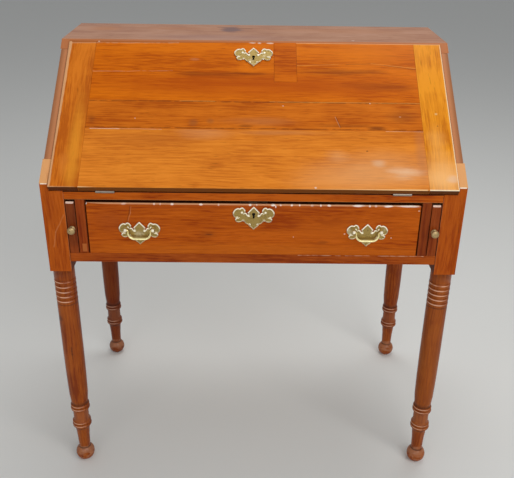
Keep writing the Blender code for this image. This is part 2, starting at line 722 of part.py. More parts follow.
def make_lid_lock(upper, top):
    """The lid's box lock, let in flush, with its bolt, its escutcheon and the mortise for the bolt."""
    x = about(LID_LOCK_X, LOCK_WIDE)
    up = (LID_END - LID_LOCK_TALL, LID_END)
    case = box("lid_lock_case", x, up, (0, LOCK_THICK), IRON, LID)
    hollow(upper, "lid_lock_recess", grown(x), (up[0] - FIT, LID_END + PAST), (-PAST, LOCK_THICK + FIT), LID)
    bolt_x = about(LID_LOCK_X, BOLT_WIDE)
    bolt_out = (BOLT_INSET, BOLT_INSET + BOLT_THICK)
    box("lid_lock_bolt", bolt_x, (LID_END - BOLT_LONG, LID_END), bolt_out, IRON, LID)
    room_x = grown(bolt_x, BOLT_GAP)
    room_out = grown(bolt_out, BOLT_GAP)
    hollow(case, "lid_bolt_room", room_x, (LID_END - BOLT_LONG - BOLT_GAP, LID_END + PAST), room_out, LID)
    strike_up = (LID_END - PAST, LID_END + LID_BOLT_THROW + BOLT_GAP)
    hollow(top, "lid_bolt_strike", room_x, strike_up, room_out, SLANT)
    plate_out = LID_THICK + FIT + PLATE_THICK / 2
    plate = batwing("lid_escutcheon", (LID_LOCK_X, LID_END - LID_PLATE_DOWN, plate_out), LID)
    reach = 2 * (LID_THICK + PAST - BOLT_INSET)
    key_place = (LID_LOCK_X, LID_END - LID_KEYHOLE_DOWN, LID_THICK + PAST)
    keyhole((plate, upper, case), "lid", key_place, reach, (0, 0, 0), LID)


def make_drawer_box():
    front_x = (-DRAWER_HALF, DRAWER_HALF)
    front_z = (DRAWER_BASE_GAP, DRAWER_TOP)
    front = box("drawer_front", front_x, (0, DRAWER_FRONT), front_z, DRAWER_WOOD, DRAWER)
    side_end = INSIDE_BACK_Y - FRONT_SETBACK - DRAWER_BACK_GAP
    back_y = (side_end - DRAWER_BACK_INSET - DRAWER_BACK, side_end - DRAWER_BACK_INSET)
    bottom_top = DRAWER_BOTTOM_Z + DRAWER_BOTTOM
    side_z = (DRAWER_BASE_GAP, DRAWER_BASE_GAP + DRAWER_SIDE_HIGH)
    back_z = (bottom_top + FIT, side_z[1] - DRAWER_BOTTOM)
    inside = DRAWER_HALF - DRAWER_SIDE
    back_half = inside + DADO
    back = box("drawer_back", (-back_half, back_half), back_y, back_z, INSIDE_WOOD, DRAWER)
    bottom_half = inside + DRAWER_GROOVE
    bottom_x = (-bottom_half, bottom_half)
    bottom_y = (DRAWER_FRONT - DRAWER_GROOVE, back_y[1])
    bottom_z = (DRAWER_BOTTOM_Z, bottom_top)
    box("drawer_bottom", bottom_x, bottom_y, bottom_z, INSIDE_WOOD, DRAWER)
    for side, sign in SIDES:
        x = mirrored(sign, inside, DRAWER_HALF)
        wall = box(f"drawer_side_{side}", x, (DRAWER_FRONT + FIT, side_end), side_z, INSIDE_WOOD, DRAWER)
        dovetail(wall, front, x, side_z)
        back_x = mirrored(sign, inside - PAST, back_half + FIT)
        hollow(wall, "drawer_back_dado", back_x, grown(back_y), (back_z[0] - FIT, DRAWER_TOP), DRAWER)
        groove_x = mirrored(sign, inside - PAST, bottom_half + FIT)
        hollow(wall, "drawer_groove", groove_x, (bottom_y[0] - FIT, side_end + PAST), grown(bottom_z), DRAWER)
    groove_y = (bottom_y[0] - FIT, DRAWER_FRONT + PAST)
    hollow(front, "drawer_front_groove", grown(bottom_x), groove_y, grown(bottom_z), DRAWER)
    return front


def flared(name, x, y, z_middle, half_front, half_rear):
    """A dovetail's wedge along X, taller at its front than at its rear."""
    tool = box(name, x, y, about(z_middle, 2 * half_rear), frame=DRAWER, helper=True)
    shape = bmesh.new()
    shape.from_mesh(tool.data)
    front = [vert for vert in shape.verts if vert.co.y < 0]
    bmesh.ops.scale(shape, vec=(1, 1, half_front / half_rear), verts=front)
    shape.to_mesh(tool.data)
    shape.free()
    return tool


def dovetail(wall, front, x, side_z):
    """Half-blind tails on the front end of a drawer side, and their sockets in the drawer front."""
    pitch = (side_z[1] - side_z[0]) / TAIL_COUNT
    run = DRAWER_FRONT - TAIL_LAP

    def half_at(y):
        return TAIL_ROOT + TAIL_FLARE * (DRAWER_FRONT - y) / run

    for tail in range(TAIL_COUNT):
        middle = side_z[0] + (tail + 0.5) * pitch
        tail_y = (TAIL_LAP, DRAWER_FRONT + FIT + SINK)
        socket_y = (TAIL_LAP - FIT, DRAWER_FRONT + FIT)
        join(wall, flared(f"{wall.name}_tail", x, tail_y, middle, half_at(tail_y[0]), half_at(tail_y[1])))
        socket_x = grown(x, FIT)
        halves = [half_at(y) + FIT for y in socket_y]
        cut(front, flared(f"{wall.name}_socket", socket_x, socket_y, middle, *halves))


def make_drawer_lock(front, rail):
    x = about(0, LOCK_WIDE)
    y = (DRAWER_FRONT - LOCK_THICK, DRAWER_FRONT)
    z = (DRAWER_TOP - DRAWER_LOCK_TALL, DRAWER_TOP)
    case = box("drawer_lock_case", x, y, z, IRON, DRAWER)
    hollow(front, "drawer_lock_recess", grown(x), (y[0] - FIT, DRAWER_FRONT + PAST),
           (z[0] - FIT, DRAWER_TOP + PAST), DRAWER)
    bolt_x = about(0, BOLT_WIDE)
    bolt_y = (y[1] - BOLT_INSET - BOLT_THICK, y[1] - BOLT_INSET)
    box("drawer_lock_bolt", bolt_x, bolt_y, (DRAWER_TOP - BOLT_LONG, DRAWER_TOP), IRON, DRAWER)
    room_x = grown(bolt_x, BOLT_GAP)
    room_y = grown(bolt_y, BOLT_GAP)
    room_z = (DRAWER_TOP - BOLT_LONG - BOLT_GAP, DRAWER_TOP + PAST)
    hollow(case, "drawer_bolt_room", room_x, room_y, room_z, DRAWER)
    strike_z = (DRAWER_TOP, DRAWER_TOP + DRAWER_BOLT_THROW + BOLT_GAP)
    hollow(rail, "drawer_bolt_strike", room_x, room_y, strike_z, DRAWER)
    plate = batwing("drawer_escutcheon", (0, -FIT - PLATE_THICK / 2, DRAWER_PLATE_Z), DRAWER, FACING_FRONT)
    reach = 2 * (DRAWER_FRONT + PAST - BOLT_INSET)
    keyhole((plate, front, case), "drawer", (0, -PAST, DRAWER_KEYHOLE_Z), reach, FACING_FRONT, DRAWER)


def pull_post_profile():
    neck = math.pi - math.asin(PULL_NECK / PULL_BALL)
    wood_back = -FIT - PLATE_THICK - DRAWER_FRONT
    nut = wood_back - FIT
    points = [*ball(PULL_BALL, PULL_POST_REACH, 0, neck, PULL_BALL_STEPS)]
    points += [(PULL_NECK, PULL_FLANGE_THICK), (PULL_FLANGE, PULL_FLANGE_THICK), (PULL_FLANGE, FIT)]
    points += [(PULL_SHANK, FIT), (PULL_SHANK, nut), (PULL_NUT, nut)]
    points += [(PULL_NUT, nut - PULL_NUT_THICK), (0, nut - PULL_NUT_THICK)]
    return points


def bent(corners, radii, steps=BAIL_BEND_STEPS):
    """Points along straight runs between corners, each corner rounded to its radius."""
    points = [corners[0]]
    for before, corner, after, radius in zip(corners, corners[1:], corners[2:], radii):
        start = corner + (before - corner).normalized() * radius
        end = corner + (after - corner).normalized() * radius
        middle = start + end - corner
        for step in range(steps + 1):
            angle = math.pi / 2 * step / steps
            points.append(middle + (start - middle) * math.cos(angle) + (end - middle) * math.sin(angle))
    points.append(corners[-1])
    return points


def make_bail(name, frame):
    end = PULL_POST_X + BAIL_END
    corners = [Vector((way * x, 0, z)) for way, x, z in (
        (-1, end, 0), (-1, BAIL_HALF, 0), (-1, BAIL_HALF, -BAIL_DROP),
        (1, BAIL_HALF, -BAIL_DROP), (1, BAIL_HALF, 0), (1, end, 0),
    )]
    points = bent(corners, (BAIL_TOP_BEND, BAIL_LOW_BEND, BAIL_LOW_BEND, BAIL_TOP_BEND))
    curve = bpy.data.curves.new(name, "CURVE")
    curve.dimensions = "3D"
    curve.bevel_depth = BAIL_RADIUS
    curve.bevel_resolution = BAIL_ROUND_STEPS
    curve.use_fill_caps = True
    spline = curve.splines.new("POLY")
    spline.points.add(len(points) - 1)
    for target, point in zip(spline.points, points):
        target.co = (*point, 1)
    return place_object(name, curve, BRASS, frame, False)


def make_pull(side, sign, front):
    """A batwing plate, two posts that hold it through the drawer front, and the bail that hangs in them."""
    x = sign * PULL_X
    plate_y = -FIT - PLATE_THICK
    name = f"pull_{side}"
    plate = batwing(name + "_plate", (x, plate_y + PLATE_THICK / 2, PULL_PLATE_Z), DRAWER, FACING_FRONT)
    frame = empty(name, (x, plate_y - PULL_POST_REACH, PULL_AXIS_Z), DRAWER)
    for place, way in (("inner", -sign), ("outer", sign)):
        post_x = x + way * PULL_POST_X
        post_name = f"{name}_post_{place}"
        post = turned(post_name, pull_post_profile(), (post_x, plate_y, PULL_AXIS_Z), BRASS, DRAWER,
                      FACING_FRONT, PULL_POST_STEPS)
        eye = rod(post_name + "_eye", BAIL_RADIUS + FIT, 2 * PULL_BALL + PAST, (way * PULL_POST_X, 0, 0),
                  ALONG_X, frame=frame, helper=True, segments=PULL_POST_STEPS)
        cut(post, eye)
        shank = rod(post_name + "_hole", PULL_SHANK + FIT, 2 * DRAWER_FRONT + PAST,
                    (post_x, DRAWER_FRONT / 2, PULL_AXIS_Z), FACING_FRONT, frame=DRAWER, helper=True)
        cut(plate, shank)
        cut(front, shank)
    make_bail(name + "_bail", frame)


def knob_profile():
    """A flattened round head on a neck, a flange against the wood and a shank into it."""
    head_z = KNOB_REACH - KNOB_HEAD_HALF
    neck = math.pi - math.asin(KNOB_NECK / KNOB_RADIUS)
    angles = [neck * step / KNOB_HEAD_STEPS for step in range(KNOB_HEAD_STEPS + 1)]
    points = [(KNOB_RADIUS * math.sin(a), head_z + KNOB_HEAD_HALF * math.cos(a)) for a in angles]
    points += [(KNOB_NECK, 2 * KNOB_FLANGE_THICK), (KNOB_FLANGE, KNOB_FLANGE_THICK), (KNOB_FLANGE, FIT)]
    points += [(KNOB_SHANK, FIT), (KNOB_SHANK, -KNOB_SHANK_LONG), (0, -KNOB_SHANK_LONG)]
    return points


def make_loper(side, sign):
    """A lid support that slides out between partition and post, with its brass knob."""
    frame = empty(f"loper_frame_{side}", (sign * LOPER_X, FRONT_SETBACK, LOWER_TOP), ROOT)
    z = (LOPER_BASE_GAP, DRAWER_OPENING - LOPER_TOP_GAP)
    loper = box(f"loper_{side}", about(0, LOPER), (0, LOPER_LONG), z, CASE_WOOD, frame)
    turned(f"loper_knob_{side}", knob_profile(), (0, 0, KNOB_Z), BRASS, frame, FACING_FRONT)
    socket_long = 2 * (KNOB_SHANK_LONG + FIT)
    cut(loper, rod(f"knob_socket_{side}", KNOB_SHANK + FIT, socket_long, (0, 0, KNOB_Z), FACING_FRONT,
                   frame=frame, helper=True))


def main():
    slant = box("slant_cut", (-WIDTH, WIDTH), (-WIDTH, WIDTH), (ARRIS_OUT, WIDTH), frame=SLANT, helper=True)
    top, rail, panels = make_case(slant)
    make_gallery(panels, top)
    make_lid_stops()
    lower_board, upper_board = make_lid()
    make_lid_lock(upper_board, top)
    front = make_drawer_box()
    make_drawer_lock(front, rail)
    for side, sign in SIDES:
        make_hinge(side, sign, rail, lower_board)
        make_pull(side, sign, front)
        make_loper(side, sign)


main()
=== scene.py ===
# %% [markdown]
# # Slant top desk: the looks
# An old writing desk in varnished cherry: a case on four turned legs, one long drawer, and a lid that
# swings down onto two pull-out supports. The solid model gives every piece its place and its joints. This
# script gives each piece the look of the real one: arrises rounded by use, fine turnings, sheet brass with
# bright rims, and a varnish with its wear, splits and scratches. Some light and shade is painted in too: a
# glare on the lower lid, glints on the turnings and the brass, shade in the gaps and under the lid, and a
# few parts made lighter or darker as the light falls on them.

import json
import math

import bmesh
import bpy
from mathutils import Matrix, Vector
from mathutils.kdtree import KDTree

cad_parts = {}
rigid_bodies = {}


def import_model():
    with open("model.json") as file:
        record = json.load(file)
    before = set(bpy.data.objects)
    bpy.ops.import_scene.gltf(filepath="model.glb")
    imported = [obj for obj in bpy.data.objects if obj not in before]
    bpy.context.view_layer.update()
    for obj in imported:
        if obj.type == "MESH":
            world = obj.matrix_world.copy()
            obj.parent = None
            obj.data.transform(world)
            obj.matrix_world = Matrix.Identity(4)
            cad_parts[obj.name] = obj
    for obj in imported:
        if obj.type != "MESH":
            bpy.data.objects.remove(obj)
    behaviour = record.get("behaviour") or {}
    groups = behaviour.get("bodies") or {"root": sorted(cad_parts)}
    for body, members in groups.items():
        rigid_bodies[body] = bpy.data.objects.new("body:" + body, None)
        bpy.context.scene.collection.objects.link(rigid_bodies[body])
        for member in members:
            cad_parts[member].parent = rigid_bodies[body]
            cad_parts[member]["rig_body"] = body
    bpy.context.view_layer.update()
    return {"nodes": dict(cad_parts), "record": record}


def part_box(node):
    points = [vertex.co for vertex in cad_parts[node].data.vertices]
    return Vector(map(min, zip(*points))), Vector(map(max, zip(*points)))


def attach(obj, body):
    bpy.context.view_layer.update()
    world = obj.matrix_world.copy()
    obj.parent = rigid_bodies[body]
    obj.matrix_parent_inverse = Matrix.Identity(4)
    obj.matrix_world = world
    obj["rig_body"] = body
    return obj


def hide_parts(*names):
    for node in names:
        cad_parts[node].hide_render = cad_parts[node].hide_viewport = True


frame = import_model()
NODES = frame["nodes"]
SLOTS = {part["node"]: part["material_slot"] for part in frame["record"]["subparts"]}
SIDES = (("left", -1), ("right", 1))

# %% [markdown]
# ## Places
# The lid leans back by the angle that its slanted bed makes in the case sides. Its own coordinates run
# across the desk (x), up the slope (u) and out of its face (n), from the axis of its hinges. A mark on the
# lid could be placed in the room's coordinates, but in these it is measured as a joiner would measure it:
# along the board and up from its lower edge.

# %% Lid coordinates
SLANT_RISE = 0.2435
SLANT_RUN = 0.314
SLOPE = math.atan2(SLANT_RISE, SLANT_RUN)
SLANT_LOW_Z = 0.7785
HINGE_Y = -0.2562
HINGE_Z = 0.7618
LID_FRAME = Matrix.Translation((0, HINGE_Y, HINGE_Z)) @ Matrix.Rotation(SLOPE, 4, "X")
TO_LID = LID_FRAME.inverted()
LID_FACE = 0.0185
FRONT_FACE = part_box("drawer_front")[0].y
POST_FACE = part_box("leg_front_left")[0].y
TOP_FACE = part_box("top_board")[1].z
FACING_FRONT = Matrix.Rotation(math.pi / 2, 4, "X")
print("slope of the lid", round(math.degrees(SLOPE), 2), "degrees")

# %% [markdown]
# ## Writing shaders briefly
# Finishes here are built from many small nodes. They could be laid out by hand in the shader editor, but
# then they could not be read or made again. A helper that adds a node and feeds its sockets, either with a
# plain value or with another node's output, keeps each finish short.

# %% Node helper


class Wiring:
    """Adds nodes to one tree. A fed value is a plain one or another node's output."""

    def __init__(self, tree):
        self.tree = tree

    def feed(self, socket, value):
        if isinstance(value, bpy.types.NodeSocket):
            self.tree.links.new(value, socket)
        else:
            socket.default_value = value

    def attribute(self, name):
        return self.add("ShaderNodeAttribute", attribute_name=name).outputs["Fac"]

    def add(self, kind, inputs=None, **settings):
        node = self.tree.nodes.new(kind)
        for key, value in settings.items():
            setattr(node, key, value)
        for key, value in (inputs or {}).items():
            self.feed(node.inputs[key], value)
        return node

    def math(self, operation, *values, clamp=False):
        node = self.add("ShaderNodeMath", dict(enumerate(values)), operation=operation, use_clamp=clamp)
        return node.outputs[0]

    def vector(self, operation, *values):
        node = self.add("ShaderNodeVectorMath", dict(enumerate(values)), operation=operation)
        single = operation in ("DOT_PRODUCT", "DISTANCE", "LENGTH")
        return node.outputs["Value" if single else "Vector"]

    def scaled(self, vector, factor):
        node = self.add("ShaderNodeVectorMath", operation="SCALE")
        self.feed(node.inputs[0], vector)
        self.feed(node.inputs["Scale"], factor)
        return node.outputs["Vector"]

    def stretched(self, vector, scale, location=(0, 0, 0), rotation=(0, 0, 0)):
        inputs = {"Vector": vector, "Location": location, "Rotation": rotation, "Scale": scale}
        return self.add("ShaderNodeMapping", inputs).outputs[0]

    def noise(self, vector, scale, detail=2.0, output="Fac"):
        inputs = {"Vector": vector, "Scale": scale, "Detail": detail}
        return self.add("ShaderNodeTexNoise", inputs).outputs[output]

    def step(self, value, low, high, below=0.0, above=1.0):
        inputs = {"Value": value, "From Min": low, "From Max": high, "To Min": below, "To Max": above}
        return self.add("ShaderNodeMapRange", inputs, interpolation_type="SMOOTHSTEP").outputs[0]

    def mix(self, factor, first, second, blend="MIX"):
        inputs = {0: factor, 6: first, 7: second}
        return self.add("ShaderNodeMix", inputs, data_type="RGBA", blend_type=blend).outputs[2]

    def group(self, tree, **inputs):
        node = self.add("ShaderNodeGroup", node_tree=tree)
        for key, value in inputs.items():
            self.feed(node.inputs[key.replace("_", " ")], value)
        return node.outputs


def shader_group(name, inputs, outputs):
    """A shader group with named sockets: its tree, its wiring, its inputs and its output node."""
    tree = bpy.data.node_groups.new(name, "ShaderNodeTree")
    for label, kind, value in inputs:
        socket = tree.interface.new_socket(label, in_out="INPUT", socket_type=f"NodeSocket{kind}")
        socket.default_value = value
    for label, kind in outputs:
        tree.interface.new_socket(label, in_out="OUTPUT", socket_type=f"NodeSocket{kind}")
    wiring = Wiring(tree)
    source = wiring.add("NodeGroupInput").outputs
    target = wiring.add("NodeGroupOutput").inputs
    return tree, wiring, source, target


print("node helper with", sum(not name.startswith("_") for name in vars(Wiring)), "short forms")

# %% [markdown]
# ## Grain
# Cherry is a close, even wood: broad soft bands along the board, fine streaks and fibres within them, short
# dark gum flecks, and a mottle where old varnish has darkened unevenly. All are noise stretched along the
# grain. A photo texture would look richer up close, but noise in the piece's own coordinates runs through
# every face of a board, end grain included, and needs no unwrapping.

# %% Grain group
ORIGIN = (0.0, 0.0, 0.0)
CENTRE = (0.5, 0.5, 0.5)
GREY = (*CENTRE, 1.0)
SWAY = 0.012
SWAY_SCALE = 5.0
BANDS = (1.4, 26, 26)
STREAKS = (11, 230, 230)
FIBRES = (32, 440, 440)
FLECKS = (34, 290, 290)
FLECKS_FROM = (0.7, 0.3, 0.9)
PATCHES = (9, 15, 15)
BAND_SHARE = 0.28
STREAK_SHARE = 0.42
FIBRE_SHARE = 0.30
DARK_TO_MIDDLE = (0.40, 0.50)
MIDDLE_TO_LIGHT = (0.50, 0.60)
FLECK_LEVELS = (0.20, 0.34)
FLECK_SHADE = 0.74


def make_grain():
    inputs = [("Along", "Vector", ORIGIN), ("Dark", "Color", GREY), ("Middle", "Color", GREY)]
    inputs += [("Light", "Color", GREY), ("Mottle", "Float", 0.35)]
    tree, w, source, target = shader_group("grain", inputs, [("Color", "Color"), ("Height", "Float")])
    sway = w.vector("SUBTRACT", w.noise(source["Along"], SWAY_SCALE, 1.0, "Color"), CENTRE)
    along = w.vector("ADD", source["Along"], w.scaled(sway, SWAY))

    def drawn_out(scale, detail, start=ORIGIN):
        return w.noise(w.stretched(along, scale, start), 1.0, detail)

    streaks = drawn_out(STREAKS, 4.0)
    bands = drawn_out(BANDS, 3.0)
    fine = w.math("MULTIPLY", streaks, STREAK_SHARE)
    broad = w.math("MULTIPLY_ADD", bands, BAND_SHARE, fine)
    lines = w.math("MULTIPLY_ADD", drawn_out(FIBRES, 2.0), FIBRE_SHARE, broad)
    blotch = w.math("MULTIPLY", w.math("SUBTRACT", drawn_out(PATCHES, 4.0), 0.5), source["Mottle"])
    tone = w.math("ADD", lines, blotch)
    darker = w.mix(w.step(tone, *DARK_TO_MIDDLE), source["Dark"], source["Middle"])
    lighter = w.mix(w.step(tone, *MIDDLE_TO_LIGHT), darker, source["Light"])
    pitted = w.step(drawn_out(FLECKS, 1.0, FLECKS_FROM), *FLECK_LEVELS, FLECK_SHADE, 1.0)
    shade = w.add("ShaderNodeCombineColor", {0: pitted, 1: pitted, 2: pitted}).outputs[0]
    w.feed(target["Color"], w.mix(1.0, lighter, shade, "MULTIPLY"))
    w.feed(target["Height"], w.math("MULTIPLY", streaks, pitted))
    return tree


GRAIN = make_grain()
print("group", GRAIN.name)

# %% [markdown]
# ## Wear on the arrises
# Hands, cloths and lids rub varnish off the corners first, and the bare wood there goes pale and greasy.
# Each rounded arris carries a wear attribute that is highest along its middle. On the turnings, the pull
# posts, the plate rims and the pins the same attribute holds painted highlights. Blender can find sharp
# corners by itself, but it would find those that nobody touches too. The group breaks the wear up with
# noise so that the bare wood comes and goes along the edge, as it does on the real desk.

# %% Wear group
WEAR_RIM = (0.15, 0.75)
PATCH_BELOW = 0.10
PATCH_ABOVE = 0.12


def make_wear():
    inputs = [("Place", "Vector", ORIGIN), ("Cover", "Float", 0.5), ("Run", "Float", 28.0)]
    tree, w, source, target = shader_group("arris_wear", inputs, [("Mask", "Float")])
    patchy = w.noise(source["Place"], source["Run"], 5.0)
    level = w.math("SUBTRACT", 1.0, source["Cover"])
    kept = w.step(patchy, w.math("SUBTRACT", level, PATCH_BELOW), w.math("ADD", level, PATCH_ABOVE))
    w.feed(target["Mask"], w.math("MULTIPLY", w.step(w.attribute("wear"), *WEAR_RIM), kept))
    return tree


WEAR_AND_GLINT = make_wear()
print("group", WEAR_AND_GLINT.name)

# %% [markdown]
# ## Single marks
# Splits, scratches, stains and haze each sit in one known spot. They could be painted on an image, but the
# desk then needs an unwrapped surface. Two groups make them instead: a line between two points, that can
# wander and break off, and a round or square spot with a ragged edge. Both measure distance in the piece's
# own coordinates, so a mark stays where it was made when the lid or the drawer moves.

# %% Mark groups
DRIFT_SCALE = 45.0
GAP_SCALE = 70.0
GAP_SOFT = 0.14
RAG_STRETCH = (0.25, 1, 1)
SPOT_SIZE = (0.01, 0.01, 0.01)


def make_line():
    inputs = [("Place", "Vector", ORIGIN), ("Start", "Vector", ORIGIN), ("End", "Vector", ORIGIN)]
    inputs += [("Half", "Float", 0.001), ("Soft", "Float", 0.0005), ("Wander", "Float", 0.002)]
    inputs += [("Broken", "Float", 0.0)]
    tree, w, source, target = shader_group("line_mark", inputs, [("Mask", "Float")])
    drift = w.vector("SUBTRACT", w.noise(source["Place"], DRIFT_SCALE, 2.0, "Color"), CENTRE)
    place = w.vector("ADD", source["Place"], w.scaled(drift, source["Wander"]))
    run = w.vector("SUBTRACT", source["End"], source["Start"])
    offset = w.vector("SUBTRACT", place, source["Start"])
    length = w.vector("DOT_PRODUCT", run, run)
    share = w.math("DIVIDE", w.vector("DOT_PRODUCT", offset, run), length, clamp=True)
    nearest = w.vector("ADD", source["Start"], w.scaled(run, share))
    distance = w.vector("DISTANCE", place, nearest)
    far = w.math("ADD", source["Half"], source["Soft"])
    mask = w.step(distance, source["Half"], far, 1.0, 0.0)
    gaps = w.noise(source["Place"], GAP_SCALE, 3.0)
    low, high = [w.math(way, source["Broken"], GAP_SOFT) for way in ("SUBTRACT", "ADD")]
    w.feed(target["Mask"], w.math("MULTIPLY", mask, w.step(gaps, low, high)))
    return tree


def make_spot():
    inputs = [("Place", "Vector", ORIGIN), ("Middle", "Vector", ORIGIN), ("Size", "Vector", SPOT_SIZE)]
    inputs += [("Soft", "Float", 0.5), ("Rag", "Float", 0.3), ("Rag Scale", "Float", 60.0)]
    inputs += [("Square", "Float", 0.0)]
    tree, w, source, target = shader_group("spot_mark", inputs, [("Mask", "Float")])
    offset = w.vector("DIVIDE", w.vector("SUBTRACT", source["Place"], source["Middle"]), source["Size"])
    sides = w.add("ShaderNodeSeparateXYZ", {0: w.vector("ABSOLUTE", offset)}).outputs
    boxed = w.math("MAXIMUM", w.math("MAXIMUM", sides[0], sides[1]), sides[2])
    rounded = w.vector("LENGTH", offset)
    reach = w.math("MULTIPLY_ADD", w.math("SUBTRACT", boxed, rounded), source["Square"], rounded)
    drawn = w.stretched(source["Place"], RAG_STRETCH)
    ragged = w.math("SUBTRACT", w.noise(drawn, source["Rag Scale"], 4.0), 0.5)
    distance = w.math("MULTIPLY_ADD", ragged, source["Rag"], reach)
    near = w.math("SUBTRACT", 1.0, source["Soft"])
    w.feed(target["Mask"], w.step(distance, near, 1.0, 1.0, 0.0))
    return tree


LINE = make_line()
SPOT = make_spot()
print("groups", LINE.name, "and", SPOT.name)

# %% [markdown]
# ## Wood finishes
# Every wooden piece gets the same build-up: grain, its own marks, faces turned one way, some aged to
# another colour and some darkened with painted shade, dirt in the grooves with painted shade on the inner
# faces of the posts, the worn arrises with painted highlights on the turnings, and last the chips in them
# with a painted shadow line on the upper rail, all under one thin coat of varnish.
# What changes from piece to piece is the way the grain runs, the colour that age and light have given it,
# and its marks, so one function builds them all. Edges and grooves are told to the finish by attributes of
# the mesh.

# %% Wood material builder
GRAIN_TURNS = {"x": (0, 0, 0), "y": (0, 0, math.pi / 2), "z": (0, math.pi / 2, 0)}
FULL_SIZE = (1, 1, 1)
SHIFT_ACROSS = 1.7
BARE = (0.62, 0.36, 0.22)
# Dirt in the grooves of the turnings, and painted shade on the inner faces of the square posts.
GRIME_AND_SHADE = (0.045, 0.012, 0.006, 1.0)
GRIME_AND_SHADE_STRENGTH = 0.75
EDGE_STRENGTH = 0.95
WOOD_SPECULAR = 0.06
WORN_ROUGHNESS = 0.6
COAT_ROUGHNESS = 0.15
GRAIN_BUMP = 0.12
GRAIN_DEEP = 0.0004
DARK_SHARES = (0.85, 1.3, 1.3)
LIGHT_SHARES = (0.55, 0.9, 1.5)


def tones(middle, spread):
    """Dark, middle and light versions of one wood colour."""
    dark = [value * (1 - share * spread) for value, share in zip(middle, DARK_SHARES)]
    light = [value * (1 + share * spread) for value, share in zip(middle, LIGHT_SHARES)]
    return {key: (*value, 1.0) for key, value in (("Dark", dark), ("Middle", middle), ("Light", light))}


def line(start, end, color, half=0.0006, soft=0.0008, wander=0.002, broken=0.0, strength=1.0):
    """A line mark. Half is its half width, soft its rim, and broken the share of it that is missing."""
    inputs = {"Start": start, "End": end, "Half": half, "Soft": soft, "Wander": wander, "Broken": broken}
    return LINE, inputs, color, strength


def spot(middle, size, color, strength=1.0, rag=0.35, rag_scale=60.0, soft=0.95, square=0.0):
    """A spot mark. Size is half its spread each way, rag how ragged it is, and soft the share that fades."""
    inputs = {"Middle": middle, "Size": size, "Soft": soft, "Square": square}
    inputs |= {"Rag": rag, "Rag_Scale": rag_scale}
    return SPOT, inputs, color, strength


def marked(w, place, color, marks):
    """A colour with marks laid over it."""
    for tree, inputs, paint, strength in marks:
        mask = w.group(tree, Place=place, **inputs)["Mask"]
        color = w.mix(w.math("MULTIPLY", mask, strength), color, (*paint, 1.0))
    return color


def new_look(name):
    """A new material, its wiring, the inputs of its shader and the place on the piece."""
    made = bpy.data.materials.new(name)
    made.use_nodes = True
    w = Wiring(made.node_tree)
    place = w.add("ShaderNodeTexCoord").outputs["Object"]
    return made, w, made.node_tree.nodes["Principled BSDF"].inputs, place


def wood(name, middle, grain="x", leaning=False, spread=0.25, mottle=0.40, shift=0.0, gloss=0.26, coat=0.03,
         worn_and_glinting=0.45, bare_and_glint=BARE, run=28.0, edge=None, marks=(), chips_and_shadows=()):
    """A wood finish about a middle colour. Leaning is for pieces of the lid, whose marks lie on its slope.
    Edge colours the faces that mark_faces picked: their aged colour on some pieces, painted shade on the
    drawer, the supports and the lid's lower faces.
    """
    made, w, shader, place = new_look(name)
    if leaning:
        place = w.stretched(place, FULL_SIZE, TO_LID.translation, TO_LID.to_euler())
    along = w.stretched(place, FULL_SIZE, (shift, SHIFT_ACROSS * shift, 0), GRAIN_TURNS[grain])
    figure = w.group(GRAIN, Along=along, Mottle=mottle, **tones(middle, spread))
    color = marked(w, place, figure["Color"], marks)
    if edge is not None:
        color = w.mix(w.math("MULTIPLY", w.attribute("edge"), EDGE_STRENGTH), color, (*edge, 1.0))
    dirty_and_shaded = w.attribute("grime")
    color = w.mix(w.math("MULTIPLY", dirty_and_shaded, GRIME_AND_SHADE_STRENGTH), color, GRIME_AND_SHADE)
    rubbed_and_glinting = w.group(WEAR_AND_GLINT, Place=place, Cover=worn_and_glinting, Run=run)["Mask"]
    color = w.mix(rubbed_and_glinting, color, (*bare_and_glint, 1.0))
    w.feed(shader["Base Color"], marked(w, place, color, chips_and_shadows))
    w.feed(shader["Roughness"], w.step(w.math("MAXIMUM", rubbed_and_glinting, dirty_and_shaded), 0.0, 1.0, gloss, WORN_ROUGHNESS))
    w.feed(shader["Specular IOR Level"], WOOD_SPECULAR)
    w.feed(shader["Coat Weight"], coat)
    w.feed(shader["Coat Roughness"], COAT_ROUGHNESS)
    relief = {"Strength": GRAIN_BUMP, "Distance": GRAIN_DEEP, "Height": figure["Height"]}
    w.feed(shader["Normal"], w.add("ShaderNodeBump", relief).outputs[0])
    return made


print("grain can run along", ", ".join(GRAIN_TURNS))

# %% [markdown]
# ## The colours of this desk
# The lid has kept its orange, its lower third is paler with a painted glare of reflected light towards the
# right, and its cross-grain ends are yellower. The top is dull, and its mauve is partly a painted
# reflection. The front is redder, and the partitions and supports are darkest. The marks below are the ones
# that can be seen on it; a few are painted light and shade: the glare, highlights along the lid's right
# arrises, a lighter right front leg, shade on the left support and the rear left leg, shade behind the
# keyholes and a shadow line under the lid. Random scratches would be quicker, but these are where this
# desk has them.

# %% Colours and places of marks
PALE = (0.72, 0.46, 0.28)
CHALK = (0.74, 0.55, 0.43)
CHIPPED = (0.95, 0.84, 0.74)
GOLD = (0.66, 0.27, 0.05)
SOOT = (0.09, 0.020, 0.006)
MAROON = (0.085, 0.024, 0.012)
UMBER = (0.20, 0.075, 0.030)
GLARE = (0.78, 0.40, 0.17)
PINK = (0.62, 0.31, 0.16)
SHADE = (0.030, 0.011, 0.005)
BLACK = (0.004, 0.003, 0.002)
ORANGE = (0.50, 0.18, 0.055)
CRACK = (0.60, 0.24, 0.085)
CHIP_DEEP = 0.01
CHIP_SOFT = 0.65
CHIP_RAG = 1.3
CHIP_SCALE = 320.0
FRONT_CHIP_DEEP = 0.006
FRONT_CHIP_RAG = 0.9
FRONT_CHIP_SCALE = 260.0
KEYHOLE_SOFT = 0.2


